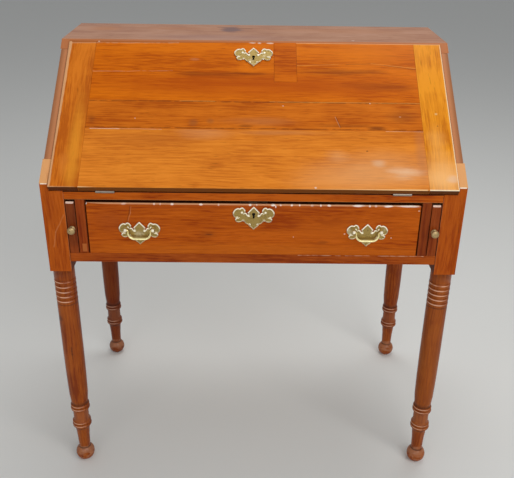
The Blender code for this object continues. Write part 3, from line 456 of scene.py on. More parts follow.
def on_lid(x, u):
    return (x, u, LID_FACE)


def on_front(x, z):
    return (x, FRONT_FACE, z)


def on_top(x, y):
    return (x, y, TOP_FACE)


def chip(middle, size, color=CHALK, strength=0.9):
    """A small ragged spot where varnish or wood has come away."""
    return spot(middle, (*size, CHIP_DEEP), color, strength, CHIP_RAG, CHIP_SCALE, CHIP_SOFT)


def front_chip(x, z, wide, high, color=CHALK, strength=0.9):
    size = (wide, FRONT_CHIP_DEEP, high)
    return spot(on_front(x, z), size, color, strength, FRONT_CHIP_RAG, FRONT_CHIP_SCALE, CHIP_SOFT)


def keyhole_shade(middle, size):
    """Painted shade on the wood behind a keyhole, where the hole is dark."""
    return spot(middle, size, BLACK, rag=0.0, soft=KEYHOLE_SOFT)


faces = [f"{face:.4f}" for face in (LID_FACE, FRONT_FACE, TOP_FACE)]
print("marks on the lid, the front and the top lie at", *faces)

# %% Marks on the lid
LIP = (0.36, 0.115, 0.035)
SIDE_RUB = (0.70, 0.38, 0.18)
RED_BAND = (0.45, 0.076, 0.003)
WARM_BAND = (0.64, 0.140, 0.004)
BRIGHT_FIELD = (0.70, 0.175, 0.004)
DULL_FIELD = (0.42, 0.15, 0.055)
ROSE = (0.44, 0.17, 0.07)
LOW_GLARE = (0.82, 0.56, 0.36)
DUSKY = (0.45, 0.17, 0.075)
RUST = (0.46, 0.115, 0.014)
HONEY = (0.77, 0.29, 0.024)
AMBER = (0.64, 0.20, 0.030)
STRAW = (0.90, 0.50, 0.20)
END_GLARE = (0.93, 0.50, 0.19)
CORN = (0.90, 0.42, 0.10)
TAN = (0.80, 0.50, 0.20)
LID_KEYHOLE = (-0.0035, 0.3535)
LID_HOLE_SIZE = (0.007, 0.011, 0.012)
LID_TOP_STRIP = line(on_lid(-0.437, 0.3960), on_lid(0.060, 0.4020), LIP, 0.0042, 0.0010, 0.001, 0.0, 0.85)
LID_TOP_LINE = line(on_lid(-0.437, 0.3905), on_lid(-0.180, 0.3940), PINK, 0.0005, 0.0014, 0.002, 0.36, 0.6)
# Painted highlight along the upper arris of the right half of the lid.
LID_RIGHT_HIGHLIGHT = line(on_lid(0.090, 0.3980), on_lid(0.437, 0.3980), GLARE, 0.0010, 0.0014, 0.001, 0.10, 0.9)
LID_UPPER_MARKS = [
    line(on_lid(-0.377, 0.308), on_lid(-0.300, 0.3085), PINK, 0.0002, 0.0012, 0.002, 0.34, 0.6),
    line(on_lid(-0.300, 0.3085), on_lid(-0.190, 0.312), PINK, 0.0002, 0.0012, 0.003, 0.42, 0.45),
    spot(on_lid(-0.10, 0.303), (0.15, 0.012, 0.02), SOOT, 0.45, 1.2, 50.0),
    spot(on_lid(-0.02, 0.306), (0.065, 0.006, 0.02), SOOT, 0.65, 1.4, 90.0),
    line(on_lid(0.098, 0.331), on_lid(0.200, 0.335), GOLD, 0.0003, 0.0012, 0.003, 0.40, 0.55),
    spot(on_lid(0.20, 0.313), (0.14, 0.013, 0.02), SOOT, 0.45, 1.2, 50.0),
    line(on_lid(0.200, 0.335), on_lid(0.279, 0.3385), SOOT, 0.0003, 0.0014, 0.003, 0.40, 0.6),
    line(on_lid(0.270, 0.3385), on_lid(0.373, 0.326), GOLD, 0.0003, 0.0012, 0.002, 0.30, 0.8),
    line(on_lid(0.300, 0.3335), on_lid(0.373, 0.3225), SOOT, 0.0002, 0.0012, 0.002, 0.30, 0.6),
    spot(on_lid(0.28, 0.272), (0.14, 0.016, 0.02), SOOT, 0.40, 1.2, 40.0),
    LID_TOP_STRIP,
    LID_TOP_LINE,
    LID_RIGHT_HIGHLIGHT,
    spot(on_lid(-0.14, 0.346), (0.014, 0.006, 0.01), PINK, 0.22, 1.2, 60.0),
    spot(on_lid(0.0, 0.272), (0.60, 0.050, 0.02), RED_BAND, 0.78, 0.5, 12.0),
    spot(on_lid(-0.02, 0.262), (0.16, 0.014, 0.02), WARM_BAND, 0.5, 0.6, 14.0),
    spot(on_lid(0.26, 0.365), (0.17, 0.050, 0.02), BRIGHT_FIELD, 0.65, 0.5, 12.0),
    chip(on_lid(-0.367, 0.396), (0.003, 0.003)),
    chip(on_lid(-0.006, 0.397), (0.010, 0.0030)),
    chip(on_lid(0.010, 0.396), (0.006, 0.0026)),
    chip(on_lid(0.036, 0.396), (0.012, 0.0028)),
    keyhole_shade(on_lid(*LID_KEYHOLE), LID_HOLE_SIZE),
]
LID_MIDDLE_MARKS = [
    line(on_lid(-0.168, 0.2265), on_lid(-0.090, 0.2265), GOLD, 0.0004, 0.0012, 0.001, 0.25, 0.8),
    line(on_lid(0.034, 0.2265), on_lid(0.373, 0.2265), GOLD, 0.0004, 0.0012, 0.001, 0.32, 0.8),
    line(on_lid(-0.373, 0.2250), on_lid(0.373, 0.2250), SOOT, 0.0003, 0.0016, 0.002, 0.45, 0.6),
    line(on_lid(0.1795, 0.187), on_lid(0.1894, 0.160), PINK, 0.0002, 0.0012, 0.002, 0.25, 0.6),
    line(on_lid(0.1815, 0.186), on_lid(0.1915, 0.158), SOOT, 0.0002, 0.0014, 0.002, 0.25, 0.5),
    spot(on_lid(-0.361, 0.175), (0.014, 0.022, 0.01), MAROON, 0.32, 1.4, 60.0),
    spot(on_lid(-0.136, 0.167), (0.014, 0.014, 0.01), UMBER, 0.40, 1.4, 70.0),
    spot(on_lid(-0.098, 0.172), (0.012, 0.010, 0.01), UMBER, 0.35, 0.8, 70.0, soft=0.9),
    spot(on_lid(-0.021, 0.160), (0.022, 0.005, 0.01), SOOT, 0.45, 0.8, 90.0, soft=0.9),
    spot(on_lid(0.20, 0.163), (0.090, 0.006, 0.01), SOOT, 0.35, 0.9, 60.0, soft=0.9),
    spot(on_lid(0.270, 0.158), (0.028, 0.006, 0.01), SOOT, 0.6, 0.8, 90.0, soft=0.9),
    spot(on_lid(0.330, 0.190), (0.050, 0.026, 0.01), MAROON, 0.30, 0.8, 40.0),
    spot(on_lid(0.02, 0.172), (0.12, 0.018, 0.01), DULL_FIELD, 0.40, 0.8, 30.0),
    chip(on_lid(-0.2655, 0.178), (0.0018, 0.0014)),
    chip(on_lid(0.0637, 0.2155), (0.0022, 0.0018)),
    chip(on_lid(0.260, 0.2245), (0.0024, 0.0016)),
    chip(on_lid(0.325, 0.189), (0.0040, 0.0012), PALE),
    line(on_lid(-0.373, 0.1535), on_lid(0.373, 0.1535), SOOT, 0.0003, 0.0020, 0.002, 0.42, 0.6),
]
LID_LOWER_MARKS = [
    line(on_lid(-0.362, 0.150), on_lid(-0.298, 0.150), CHALK, 0.0005, 0.0014, 0.002, 0.25, 0.95),
    line(on_lid(-0.298, 0.150), on_lid(-0.205, 0.149), PINK, 0.0003, 0.0012, 0.002, 0.35, 0.7),
    line(on_lid(0.291, 0.150), on_lid(0.373, 0.150), PALE, 0.0003, 0.0012, 0.002, 0.38, 0.7),
    spot(on_lid(-0.107, 0.138), (0.080, 0.022, 0.02), PINK, 0.30, 1.2, 30.0),
    spot(on_lid(0.05, 0.143), (0.13, 0.010, 0.02), ROSE, 0.40, 0.9, 40.0),
    # Painted glare: pale spots of reflected light on the lower right of the lid.
    spot(on_lid(0.26, 0.045), (0.24, 0.075, 0.03), GLARE, 0.50, 0.9, 12.0),
    spot(on_lid(0.270, 0.066), (0.024, 0.014, 0.02), PALE, 0.55, 1.6, 60.0),
    spot(on_lid(0.325, 0.046), (0.050, 0.022, 0.02), LOW_GLARE, 0.60, 1.6, 60.0),
    spot(on_lid(0.18, 0.085), (0.040, 0.026, 0.02), GLARE, 0.35, 1.2, 28.0),
    spot(on_lid(0.363, 0.090), (0.018, 0.10, 0.02), DUSKY, 0.40, 0.7, 26.0),
    spot(on_lid(-0.22, 0.125), (0.18, 0.030, 0.02), RUST, 0.45, 0.8, 16.0),
    chip(on_lid(0.1305, 0.004), (0.0030, 0.0030)),
    chip(on_lid(0.246, 0.0975), (0.0030, 0.0016), MAROON),
]
LID_LEFT_MARKS = [
    LID_TOP_STRIP,
    LID_TOP_LINE,
    line(on_lid(-0.4365, 0.0), on_lid(-0.4335, 0.392), SIDE_RUB, 0.0030, 0.0016, 0.003, 0.15, 0.85),
    spot(on_lid(-0.391, 0.085), (0.024, 0.24, 0.02), HONEY, 0.70, 0.9, 26.0),
    spot(on_lid(-0.410, 0.060), (0.016, 0.050, 0.02), AMBER, 0.45, 0.9, 40.0),
]
LID_RIGHT_MARKS = [
    LID_RIGHT_HIGHLIGHT,
    # Wear with a painted highlight along the lid's long right arris.
    line(on_lid(0.4365, 0.0), on_lid(0.4365, 0.398), STRAW, 0.0012, 0.0022, 0.002, 0.22, 0.8),
    # Painted glare at the foot of the right end of the lid.
    spot(on_lid(0.405, 0.030), (0.075, 0.080, 0.02), END_GLARE, 0.80, 0.9, 22.0),
    spot(on_lid(0.400, 0.120), (0.030, 0.060, 0.02), CORN, 0.50, 0.9, 30.0),
    chip(on_lid(0.4065, 0.198), (0.0040, 0.0040), TAN, 0.7),
    spot(on_lid(0.425, 0.028), (0.016, 0.018, 0.02), CHALK, 0.40, 1.6, 70.0),
    chip(on_lid(0.4065, 0.1655), (0.0018, 0.0016), MAROON, 0.6),
]
print(len(LID_UPPER_MARKS + LID_MIDDLE_MARKS + LID_LOWER_MARKS), "marks on the lid's three boards")

# %% Marks on the drawer
OXBLOOD = (0.30, 0.050, 0.008)
COPPER = (0.52, 0.125, 0.008)
DEEP_RED = (0.36, 0.062, 0.006)
RUSSET = (0.50, 0.108, 0.006)
DRAWER_KEYHOLE_Z = 0.7085
DRAWER_HOLE_SIZE = (0.007, 0.012, 0.011)
DRAWER_MARKS = [
    line(on_front(-0.2650, 0.7275), on_front(-0.2665, 0.712), CRACK, 0.0002, 0.0014, 0.003, 0.3, 0.45),
    line(on_front(-0.2665, 0.712), on_front(-0.2735, 0.693), CRACK, 0.0002, 0.0014, 0.003, 0.3, 0.45),
    line(on_front(-0.2672, 0.7275), on_front(-0.2692, 0.712), SOOT, 0.0003, 0.0014, 0.003, 0.1, 0.6),
    line(on_front(-0.2692, 0.712), on_front(-0.2762, 0.693), SOOT, 0.0003, 0.0014, 0.003, 0.2, 0.5),
    spot(on_front(-0.31, 0.695), (0.060, 0.03, 0.040), OXBLOOD, 0.45, 0.8, 20.0),
    spot(on_front(-0.100, 0.663), (0.034, 0.02, 0.014), SOOT, 0.35, 0.9, 40.0),
    spot(on_front(-0.098, 0.662), (0.012, 0.02, 0.003), SOOT, 0.6, 0.9, 150.0, soft=0.8),
    spot(on_front(0.155, 0.645), (0.016, 0.02, 0.006), SOOT, 0.4, 1.2, 120.0, soft=0.9),
    spot(on_front(0.0, 0.625), (0.60, 0.03, 0.028), COPPER, 0.55, 0.5, 20.0),
    spot(on_front(0.0, 0.730), (0.60, 0.03, 0.014), DEEP_RED, 0.35, 0.6, 24.0),
    spot(on_front(0.19, 0.675), (0.17, 0.03, 0.050), RUSSET, 0.60, 0.6, 16.0),
    front_chip(0.088, 0.658, 0.0016, 0.0016),
    front_chip(0.2005, 0.6666, 0.0026, 0.0018),
    front_chip(0.3036, 0.658, 0.0018, 0.0016),
    keyhole_shade(on_front(0, DRAWER_KEYHOLE_Z), DRAWER_HOLE_SIZE),
]
DRAWER_LIP = 0.7338
DRAWER_CHIPS = [
    front_chip(x, DRAWER_LIP, wide, 0.0030, CHIPPED, strength)
    for x, wide, strength in (
        (-0.362, 0.0035, 0.95), (-0.281, 0.008, 0.45), (-0.215, 0.0032, 0.75), (-0.202, 0.0020, 0.6),
        (-0.176, 0.0048, 0.9), (-0.114, 0.0048, 0.9), (-0.076, 0.0028, 0.5), (-0.008, 0.0040, 1.0),
        (0.0065, 0.0022, 0.6), (0.042, 0.0065, 0.95), (0.058, 0.0028, 0.6), (0.082, 0.0034, 0.85),
        (0.099, 0.0026, 0.9), (0.126, 0.0045, 0.4), (0.145, 0.0024, 0.9), (0.163, 0.0050, 0.9),
        (0.226, 0.0165, 0.95), (0.251, 0.0034, 0.9), (0.264, 0.0034, 0.5), (0.291, 0.0120, 1.0),
        (0.335, 0.0300, 0.8),
    )
]
DRAWER_CHIPS += [
    front_chip(0.0475, 0.7302, 0.0018, 0.0036, CHIPPED, 0.9),
    front_chip(0.3585, 0.7234, 0.0024, 0.0018, CHALK, 0.8),
]
print(len(DRAWER_MARKS), "marks and", len(DRAWER_CHIPS), "chips on the drawer")

# %% Marks on the case
DUST = (0.46, 0.225, 0.125)
REAR_LEFT_LEG_SHADE = (0.10, 0.009, 0.002)
RIGHT_FRONT_LEG_LIGHT = (0.34, 0.092, 0.012)
SLATE = (0.13, 0.075, 0.085)
MAUVE_REFLECTION = (0.40, 0.235, 0.20)
PLUG = (0.46, 0.135, 0.030)
PLUG_SIZE = (0.0055, 0.010, 0.0110)
PARTITION_LOW = 0.61
PARTITION_HIGH = 0.745
PARTITION_SIDES = (-0.3860, -0.3640, 0.3640, 0.3860)
LEG_MARKS = [
    spot((-0.4540, -0.2480, 0.437), (0.014, 0.03, 0.012), SOOT, 0.65, 1.0, 90.0, soft=0.8),
    spot((-0.4300, -0.2560, 0.345), (0.003, 0.02, 0.030), SOOT, 0.75, 1.2, 160.0, soft=0.8),
    # Painted shade: the rear left leg is darkened.
    spot((-0.4325, 0.2325, 0.30), (0.06, 0.06, 0.50), REAR_LEFT_LEG_SHADE, 0.55, 0.4, 40.0, soft=0.3),
    # Painted light: the right front leg is lightened, being on the lit side.
    spot((0.4325, -0.2315, 0.32), (0.06, 0.06, 0.30), RIGHT_FRONT_LEG_LIGHT, 0.60, 0.6, 20.0, soft=0.9),
    line((0.419, 0.222, 0.2450), (0.436, 0.222, 0.2436), PALE, 0.0004, 0.0012, 0.001, 0.2, 0.9),
    spot((0, 0, 0.034), (9, 9, 0.020), DUST, 0.50, 3.2, 110.0),
    spot((0, 0, 0.145), (9, 9, 0.040), DUST, 0.15, 1.2, 70.0, soft=0.9),
]
POST_CRACK = [(x, POST_FACE, z) for x, z in ((-0.4117, 0.7062), (-0.4336, 0.6651), (-0.4414, 0.6282))]
POST_MARKS = [
    line(start, end, CRACK, 0.0003, 0.0020, 0.004, 0.36, 0.32)
    for start, end in zip(POST_CRACK, POST_CRACK[1:])
]
TOP_MARKS = [
    line(on_top(-0.094, 0.232), on_top(-0.010, 0.218), UMBER, 0.0020, 0.0060, 0.006, 0.0, 0.55),
    spot(on_top(-0.061, 0.204), (0.034, 0.048, 0.02), SLATE, 0.75, 0.9, 50.0, soft=0.6),
    spot(on_top(-0.38, 0.195), (0.060, 0.04, 0.02), ORANGE, 0.55, 0.8, 22.0),
    spot(on_top(-0.20, 0.21), (0.14, 0.03, 0.02), ORANGE, 0.35, 0.9, 16.0),
    spot(on_top(0.20, 0.20), (0.26, 0.05, 0.02), ORANGE, 0.30, 0.9, 16.0),
    # Painted reflection: a mauve sheen on the top.
    spot(on_top(-0.10, 0.10), (0.28, 0.05, 0.02), MAUVE_REFLECTION, 0.35, 0.7, 14.0),
    chip(on_top(0.235, 0.075), (0.005, 0.004), CHALK, 0.7),
]
PANEL_CHIPS = []
for x in (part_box("side_panel_left")[0].x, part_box("side_panel_right")[1].x):
    slant_low = (x, POST_FACE, SLANT_LOW_Z)
    slant_high = (x, POST_FACE + SLANT_RUN, SLANT_LOW_Z + SLANT_RISE)
    PANEL_CHIPS.append(line(slant_low, slant_high, UMBER, 0.0015, 0.0110, 0.002, 0.0, 0.55))
RAIL_LOW, RAIL_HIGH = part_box("rail_front_upper")
rail_edge = [(x, RAIL_LOW.y, RAIL_HIGH.z) for x in (RAIL_LOW.x, RAIL_HIGH.x)]
# Painted shadow: a black line along the top of the upper rail, under the overhang of the lid.
RAIL_SHADOW_LINE = [line(*rail_edge, BLACK, 0.0008, 0.0010, 0.001)]
LOW_RAIL_CHIPS = [
    line(on_front(0.10, 0.6128), on_front(0.38, 0.6128), PALE, 0.0004, 0.0010, 0.002, 0.50, 0.5),
]
# Painted shade: the left support is darkened, on the side away from the light.
LEFT_LOPER_SHADE = [spot(on_front(-0.3975, 0.70), (0.03, 0.05, 0.08), SOOT, 0.45, 0.3, 40.0, soft=0.3)]
UPRIGHT_MARKS = [
    spot(on_front(-0.3735, 0.627), PLUG_SIZE, PLUG, 0.75, 0.2, 120.0, soft=0.25, square=1.0),
    spot(on_front(0.3745, 0.68), (0.02, 0.01, 0.09), SOOT, 0.30, 0.4, 40.0, soft=0.3),
]
for x in PARTITION_SIDES:
    ends = (on_front(x, PARTITION_LOW), on_front(x, PARTITION_HIGH))
    UPRIGHT_MARKS.append(line(*ends, SHADE, 0.0009, 0.0008, 0.001, 0.0, 0.9))
print(len(LEG_MARKS + POST_MARKS), "marks on the legs and", len(TOP_MARKS), "on the top")

# %% Wood finishes
# Painted shade on the lower faces of the lid, which look down and forward: darkest on the end-grain ends,
# lighter on the lower board.
LID_END_LOW_FACE_SHADE = (0.075, 0.020, 0.006)
LID_BOARD_LOW_FACE_SHADE = (0.15, 0.045, 0.008)
PINE = (0.42, 0.25, 0.11)
PINE_GLOSS = 0.6
LOOKS = {
    # The top's mauve colour is partly a painted reflection of the room.
    "top": wood("top_cherry", (0.46, 0.215, 0.115), spread=0.20, shift=3.1, marks=TOP_MARKS, bare_and_glint=PINK,
                edge=(0.47, 0.165, 0.06)),
    "rail": wood("rail_cherry", (0.39, 0.071, 0.003), spread=0.44, shift=1.3, worn_and_glinting=0.75,
                 bare_and_glint=(0.74, 0.34, 0.11), chips_and_shadows=RAIL_SHADOW_LINE),
    "lower_rail": wood("lower_rail_cherry", (0.31, 0.056, 0.005), spread=0.38, shift=2.2, worn_and_glinting=0.34, run=50.0,
                       chips_and_shadows=LOW_RAIL_CHIPS),
    # On the legs the bare colour is also the painted highlight on the beads and rings.
    "leg": wood("leg_cherry", (0.28, 0.058, 0.005), "z", spread=0.36, mottle=0.5, coat=0.22, worn_and_glinting=0.64,
                bare_and_glint=(0.80, 0.50, 0.34), run=40.0, marks=LEG_MARKS),
    "post": wood("post_cherry", (0.40, 0.077, 0.005), "z", spread=0.30, mottle=0.25, shift=4.4, worn_and_glinting=0.75,
                 bare_and_glint=(0.95, 0.82, 0.64), edge=(0.75, 0.37, 0.145), marks=POST_MARKS),
    "panel": wood("panel_cherry", (0.36, 0.080, 0.010), "y", spread=0.30, shift=0.7, bare_and_glint=PINK,
                  edge=(0.52, 0.215, 0.095), chips_and_shadows=PANEL_CHIPS),
    "dark": wood("partition_cherry", (0.26, 0.043, 0.005), "z", spread=0.35, worn_and_glinting=0.15, marks=UPRIGHT_MARKS),
    "loper": wood("loper_cherry", (0.24, 0.044, 0.007), "z", spread=0.35, shift=6.1, worn_and_glinting=0.70,
                  bare_and_glint=(0.82, 0.58, 0.46), run=60.0, edge=SHADE, marks=LEFT_LOPER_SHADE),
    "bed": wood("bed_cherry", (0.44, 0.12, 0.02), spread=0.30, shift=4.1),
    "drawer": wood("drawer_cherry", (0.41, 0.075, 0.003), spread=0.38, mottle=0.22, shift=0.4, worn_and_glinting=0.78,
                   bare_and_glint=(0.66, 0.31, 0.15), run=60.0, edge=SHADE, marks=DRAWER_MARKS, chips_and_shadows=DRAWER_CHIPS),
    "lid_upper": wood("lid_upper_cherry", (0.59, 0.129, 0.003), leaning=True, spread=0.28, worn_and_glinting=0.35,
                      marks=LID_UPPER_MARKS),
    "lid_patch": wood("lid_patch_cherry", (0.53, 0.108, 0.003), leaning=True, spread=0.28, shift=5.3,
                      worn_and_glinting=0.6, bare_and_glint=ORANGE),
    "lid_middle": wood("lid_middle_cherry", (0.55, 0.128, 0.007), leaning=True, spread=0.28, shift=2.9,
                       worn_and_glinting=0.35, marks=LID_MIDDLE_MARKS),
    "lid_lower": wood("lid_lower_cherry", (0.68, 0.20, 0.018), leaning=True, spread=0.21, mottle=0.3,
                      shift=7.7, worn_and_glinting=0.74, bare_and_glint=(0.92, 0.60, 0.28), edge=LID_BOARD_LOW_FACE_SHADE,
                      marks=LID_LOWER_MARKS),
    "lid_end_left": wood("lid_end_left_cherry", (0.60, 0.155, 0.011), "y", leaning=True, spread=0.25,
                         mottle=0.7, shift=1.9, worn_and_glinting=0.80, bare_and_glint=SIDE_RUB, edge=LID_END_LOW_FACE_SHADE,
                         marks=LID_LEFT_MARKS),
    "lid_end_right": wood("lid_end_right_cherry", (0.72, 0.245, 0.012), "y", leaning=True, spread=0.24,
                          mottle=0.7, shift=8.3, worn_and_glinting=0.80, bare_and_glint=(0.95, 0.78, 0.52), edge=LID_END_LOW_FACE_SHADE,
                          marks=LID_RIGHT_MARKS),
    "inside": wood("inside_pine", PINE, gloss=PINE_GLOSS, coat=0.0, worn_and_glinting=0.2),
    "inside_upright": wood("inside_upright_pine", PINE, "z", gloss=PINE_GLOSS, coat=0.0),
}
print(len(LOOKS), "wood finishes")

# %% [markdown]
# ## Metal finishes
# The pulls and keyhole plates are cut from sheet brass. Their faces have dulled to olive, while their filed
# rims and the bails, which fingers touch, stay bright. The rims where they face up, the heads of the pull
# posts, the pins and the screws carry painted highlights, and the bright parts are partly diffuse so that
# these stay bright. The hinges and locks are iron, rubbed grey. A mirror-like metal would show the whole
# room, so these are rough, with clouds and specks of tarnish from noise.

# %% Metal materials
SPECK_SCALE = 9
SPECK_LEVELS = (0.56, 0.70)
SPECK_SHADE = 0.45
CLOUD_LEVELS = (0.58, 1.0)
RIM_LEVELS = (0.05, 0.6)
RIM_ROUGHNESS = 0.9


def metal(name, dull, bright, roughness, run, scatter=0.0):
    """Dulled metal, bright where it is rubbed and where a highlight is painted. Scatter is the share of the
    bright parts that is diffuse instead of metal, which keeps their painted highlights bright.
    """
    made, w, shader, place = new_look(name)
    stain = (*[SPECK_SHADE * value for value in dull], 1.0)
    specks = w.step(w.noise(place, SPECK_SCALE * run, 3.0), *SPECK_LEVELS)
    clouds = w.step(w.noise(place, run, 4.0), *CLOUD_LEVELS)
    face = w.mix(clouds, w.mix(specks, (*dull, 1.0), stain), (*bright, 1.0))
    rubbed_and_glinting = w.step(w.attribute("wear"), *RIM_LEVELS)
    w.feed(shader["Base Color"], w.mix(rubbed_and_glinting, face, (*bright, 1.0)))
    w.feed(shader["Roughness"], w.step(rubbed_and_glinting, 0.0, 1.0, roughness, RIM_ROUGHNESS * roughness))
    w.feed(shader["Metallic"], w.step(rubbed_and_glinting, 0.0, 1.0, 1.0, 1.0 - scatter) if scatter else 1.0)
    return made


LOOKS["brass"] = metal("dull_brass", (0.42, 0.29, 0.092), (1.0, 0.93, 0.72), 0.36, 40.0, 0.8)
LOOKS["bail"] = metal("bright_brass", (1.0, 0.84, 0.36), (1.0, 0.90, 0.45), 0.28, 60.0, 0.6)
LOOKS["knob"] = metal("olive_brass", (0.52, 0.37, 0.18), (0.66, 0.50, 0.28), 0.50, 50.0)
LOOKS["iron"] = metal("rubbed_iron", (0.34, 0.29, 0.24), (0.92, 0.84, 0.74), 0.45, 70.0, 0.5)
print(len(LOOKS), "finishes in all")

# %% [markdown]
# ## Boards with rounded arrises
# A planed board never has a knife edge: the joiner breaks each arris with a stroke of the plane, and use
# rounds it further. Each board starts as a clean copy of its solid, with its mortises and grooves. Its long
# outer edges are then rounded in three narrow facets, whose middle rows carry the wear attribute. A Bevel
# modifier would round them too, but it could not say where the wear lies.

# %% Arrises
MERGE = 0.00002
FLAT_ANGLE = math.radians(0.5)
ARRIS_ANGLE = math.radians(35)
SMOOTH_ANGLE = math.radians(40)
ARRIS_STEPS = 3
ARRIS_LEAST = 0.012
ARRIS_PART = 0.008
ARRIS_PARTS_LEAST = 8
ROUND_PROFILE = 0.5
FAINT_WEAR = 0.26


def clean_copy(node):
    shape = bmesh.new()
    shape.from_mesh(NODES[node].data)
    shape.verts.layers.float.new("wear")
    bmesh.ops.remove_doubles(shape, verts=shape.verts, dist=MERGE)
    bmesh.ops.dissolve_limit(shape, angle_limit=FLAT_ANGLE, verts=shape.verts, edges=shape.edges)
    return shape


def is_arris(edge, least):
    if not edge.is_manifold or not edge.is_convex:
        return False
    return edge.calc_face_angle() > ARRIS_ANGLE and edge.calc_length() > least


def divided(edges):
    """Sets points along edges, so that their wear can change on the way."""
    parts = []
    for edge in edges:
        near = edge.verts[0]
        for left in range(max(ARRIS_PARTS_LEAST, round(edge.calc_length() / ARRIS_PART)), 1, -1):
            part, near = bmesh.utils.edge_split(edge, near, 1 / left)
            parts.append(part)
        parts.append(edge)
    return parts


def ease(shape, width, least=ARRIS_LEAST, chosen=None, amount=None):
    """Rounds the long outer edges, or those that chosen picks, and marks their middles as worn."""
    worn_and_glinting = shape.verts.layers.float["wear"]
    edges = [edge for edge in shape.edges if is_arris(edge, least) and (chosen is None or chosen(edge))]
    if amount is not None:
        edges = divided(edges)
    made = bmesh.ops.bevel(
        shape, geom=edges, offset=width, offset_type="OFFSET", segments=ARRIS_STEPS, profile=ROUND_PROFILE,
        affect="EDGES", clamp_overlap=amount is None,
    )
    rounded = set(made["faces"])
    for vert in made["verts"]:
        if all(face in rounded for face in vert.link_faces):
            vert[worn_and_glinting] = FAINT_WEAR if amount is None else amount(vert.co)


print("arrises over", ARRIS_LEAST, "m long are rounded in", ARRIS_STEPS, "facets")

# %% [markdown]
# ## From a shape to a finished piece
# A rounded board is a working shape until it is made a mesh, gets its finish and takes the place of its
# solid. Its small facets would tint the broad faces beside them if normals were simply averaged, so
# weighted normals keep those faces flat to the eye. Splitting every edge would do that too, but it would
# lose the soft arrises.

# %% Finished pieces
FACING_LEAST = 0.9


def evaluated_copy(holder):
    """The mesh that an object's modifiers make. The object itself is removed."""
    bpy.context.view_layer.update()
    mesh = bpy.data.meshes.new_from_object(holder.evaluated_get(bpy.context.evaluated_depsgraph_get()))
    bpy.data.objects.remove(holder, do_unlink=True)
    return mesh


def held(name, mesh):
    holder = bpy.data.objects.new(name, mesh)
    bpy.context.scene.collection.objects.link(holder)
    return holder


def to_mesh(name, shape):
    mesh = bpy.data.meshes.new(name)
    shape.to_mesh(mesh)
    shape.free()
    return mesh


def shaded(mesh):
    """The same mesh, smooth but for its sharp edges."""
    mesh.shade_smooth()
    mesh.set_sharp_from_angle(angle=SMOOTH_ANGLE)
    return mesh


def with_flat_faces(name, mesh):
    holder = held(name, shaded(mesh))
    normals = holder.modifiers.new("flat_faces", "WEIGHTED_NORMAL")
    normals.keep_sharp = True
    return evaluated_copy(holder)


def stand_in(node, mesh, look):
    """The finished piece that is shown in place of a node of the solid model."""
    mesh.materials.clear()
    mesh.materials.append(LOOKS[look])
    piece = held(f"{node}_worn", mesh)
    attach(piece, NODES[node]["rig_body"])
    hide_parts(node)
    return piece


def mark_faces(mesh, facing, above=0.0):
    """Tells the finish which faces above a height look a given way, by the attribute edge: their aged colour
    on some pieces, a painted shade on others.
    """
    layer = mesh.attributes.new("edge", "FLOAT", "FACE")
    for slot, face in zip(layer.data, mesh.polygons):
        slot.value = float(face.normal.dot(facing) > FACING_LEAST and face.center.z > above)


def sawn_off(shape, place, way):
    """Takes off what lies beyond a plane, and closes the cut."""
    everything = [*shape.verts, *shape.edges, *shape.faces]
    cut = bmesh.ops.bisect_plane(shape, geom=everything, plane_co=place, plane_no=way, clear_outer=True)
    rim = [item for item in cut["geom_cut"] if isinstance(item, bmesh.types.BMEdge)]
    bmesh.ops.contextual_create(shape, geom=rim)
    bmesh.ops.recalc_face_normals(shape, faces=shape.faces)


def board(node, look, width=None, heavy=(), edge=None, shape=None):
    """A board with broken arrises. Each heavy entry picks arrises and gives their width and their wear."""
    shape = shape or clean_copy(node)
    for chosen, wide, amount in heavy:
        ease(shape, wide, chosen=chosen, amount=amount)
    if width is not None:
        ease(shape, width)
    mesh = with_flat_faces(node, to_mesh(node, shape))
    if edge is not None:
        mark_faces(mesh, edge)
    stand_in(node, mesh, look)


print(len(SLOTS), "solids can be dressed")

# %% [markdown]
# ## The case, the lid and the drawer box
# The lower arris of the lid, its long side arrises and the upper arrises of the drawer front and the lid
# supports are handled most, and are rounded most. Where the lid meets the rail both arrises are taken off,
# which leaves the dark line under the lid, deepened by a painted shadow line along the rail. The front of
# each support is planed down to the height of the drawer, so that it slides in freely. That ramp and the
# upper face of the drawer front are painted dark, the shade of the gap under the rail, and the lower faces
# of the lid get painted shade too. The pieces inside the case only have their saw edges taken off.
# Arrises could be picked by number, but numbers change with the solid, so they are picked by where they
# lie.

# %% Which arrises
LIGHT_EASE = 0.0005
EASE = 0.0009
WELL_EASE = 0.0013
HEAVY_EASE = 0.0020
LID_EASE = 0.0026
WORN_EASE = 0.0038
SIDE_WEAR = 0.8
NEAR = 0.001
LID_LOW_WEAR = (
    (-0.45, 0.80), (-0.42, 0.45), (-0.38, 0.35), (-0.374, 0.60), (-0.36, 0.5), (-0.33, 0.17), (0.0, 0.17),
    (0.10, 0.26), (0.20, 0.38), (0.29, 0.60), (0.36, 0.95), (0.45, 1.0),
)


def along_x(points):
    """A function that reads the amount at a place from (x, amount) points."""

    def amount(place):
        for (x0, low), (x1, high) in zip(points, points[1:]):
            if x0 <= place.x <= x1:
                return low + (high - low) * (place.x - x0) / (x1 - x0)
        return points[-1][1]

    return amount


def even(value):
    return lambda place: value


def any_of(*choosers):
    return lambda edge: any(chosen(edge) for chosen in choosers)


def arris_at(frame_in=Matrix(), **limits):
    """Picks the edges whose middle lies inside limits, each a (low, high) pair along one axis of a frame."""

    def chosen(edge):
        middle = frame_in @ ((edge.verts[0].co + edge.verts[1].co) / 2)
        return all(low <= getattr(middle, axis) <= high for axis, (low, high) in limits.items())

    return chosen


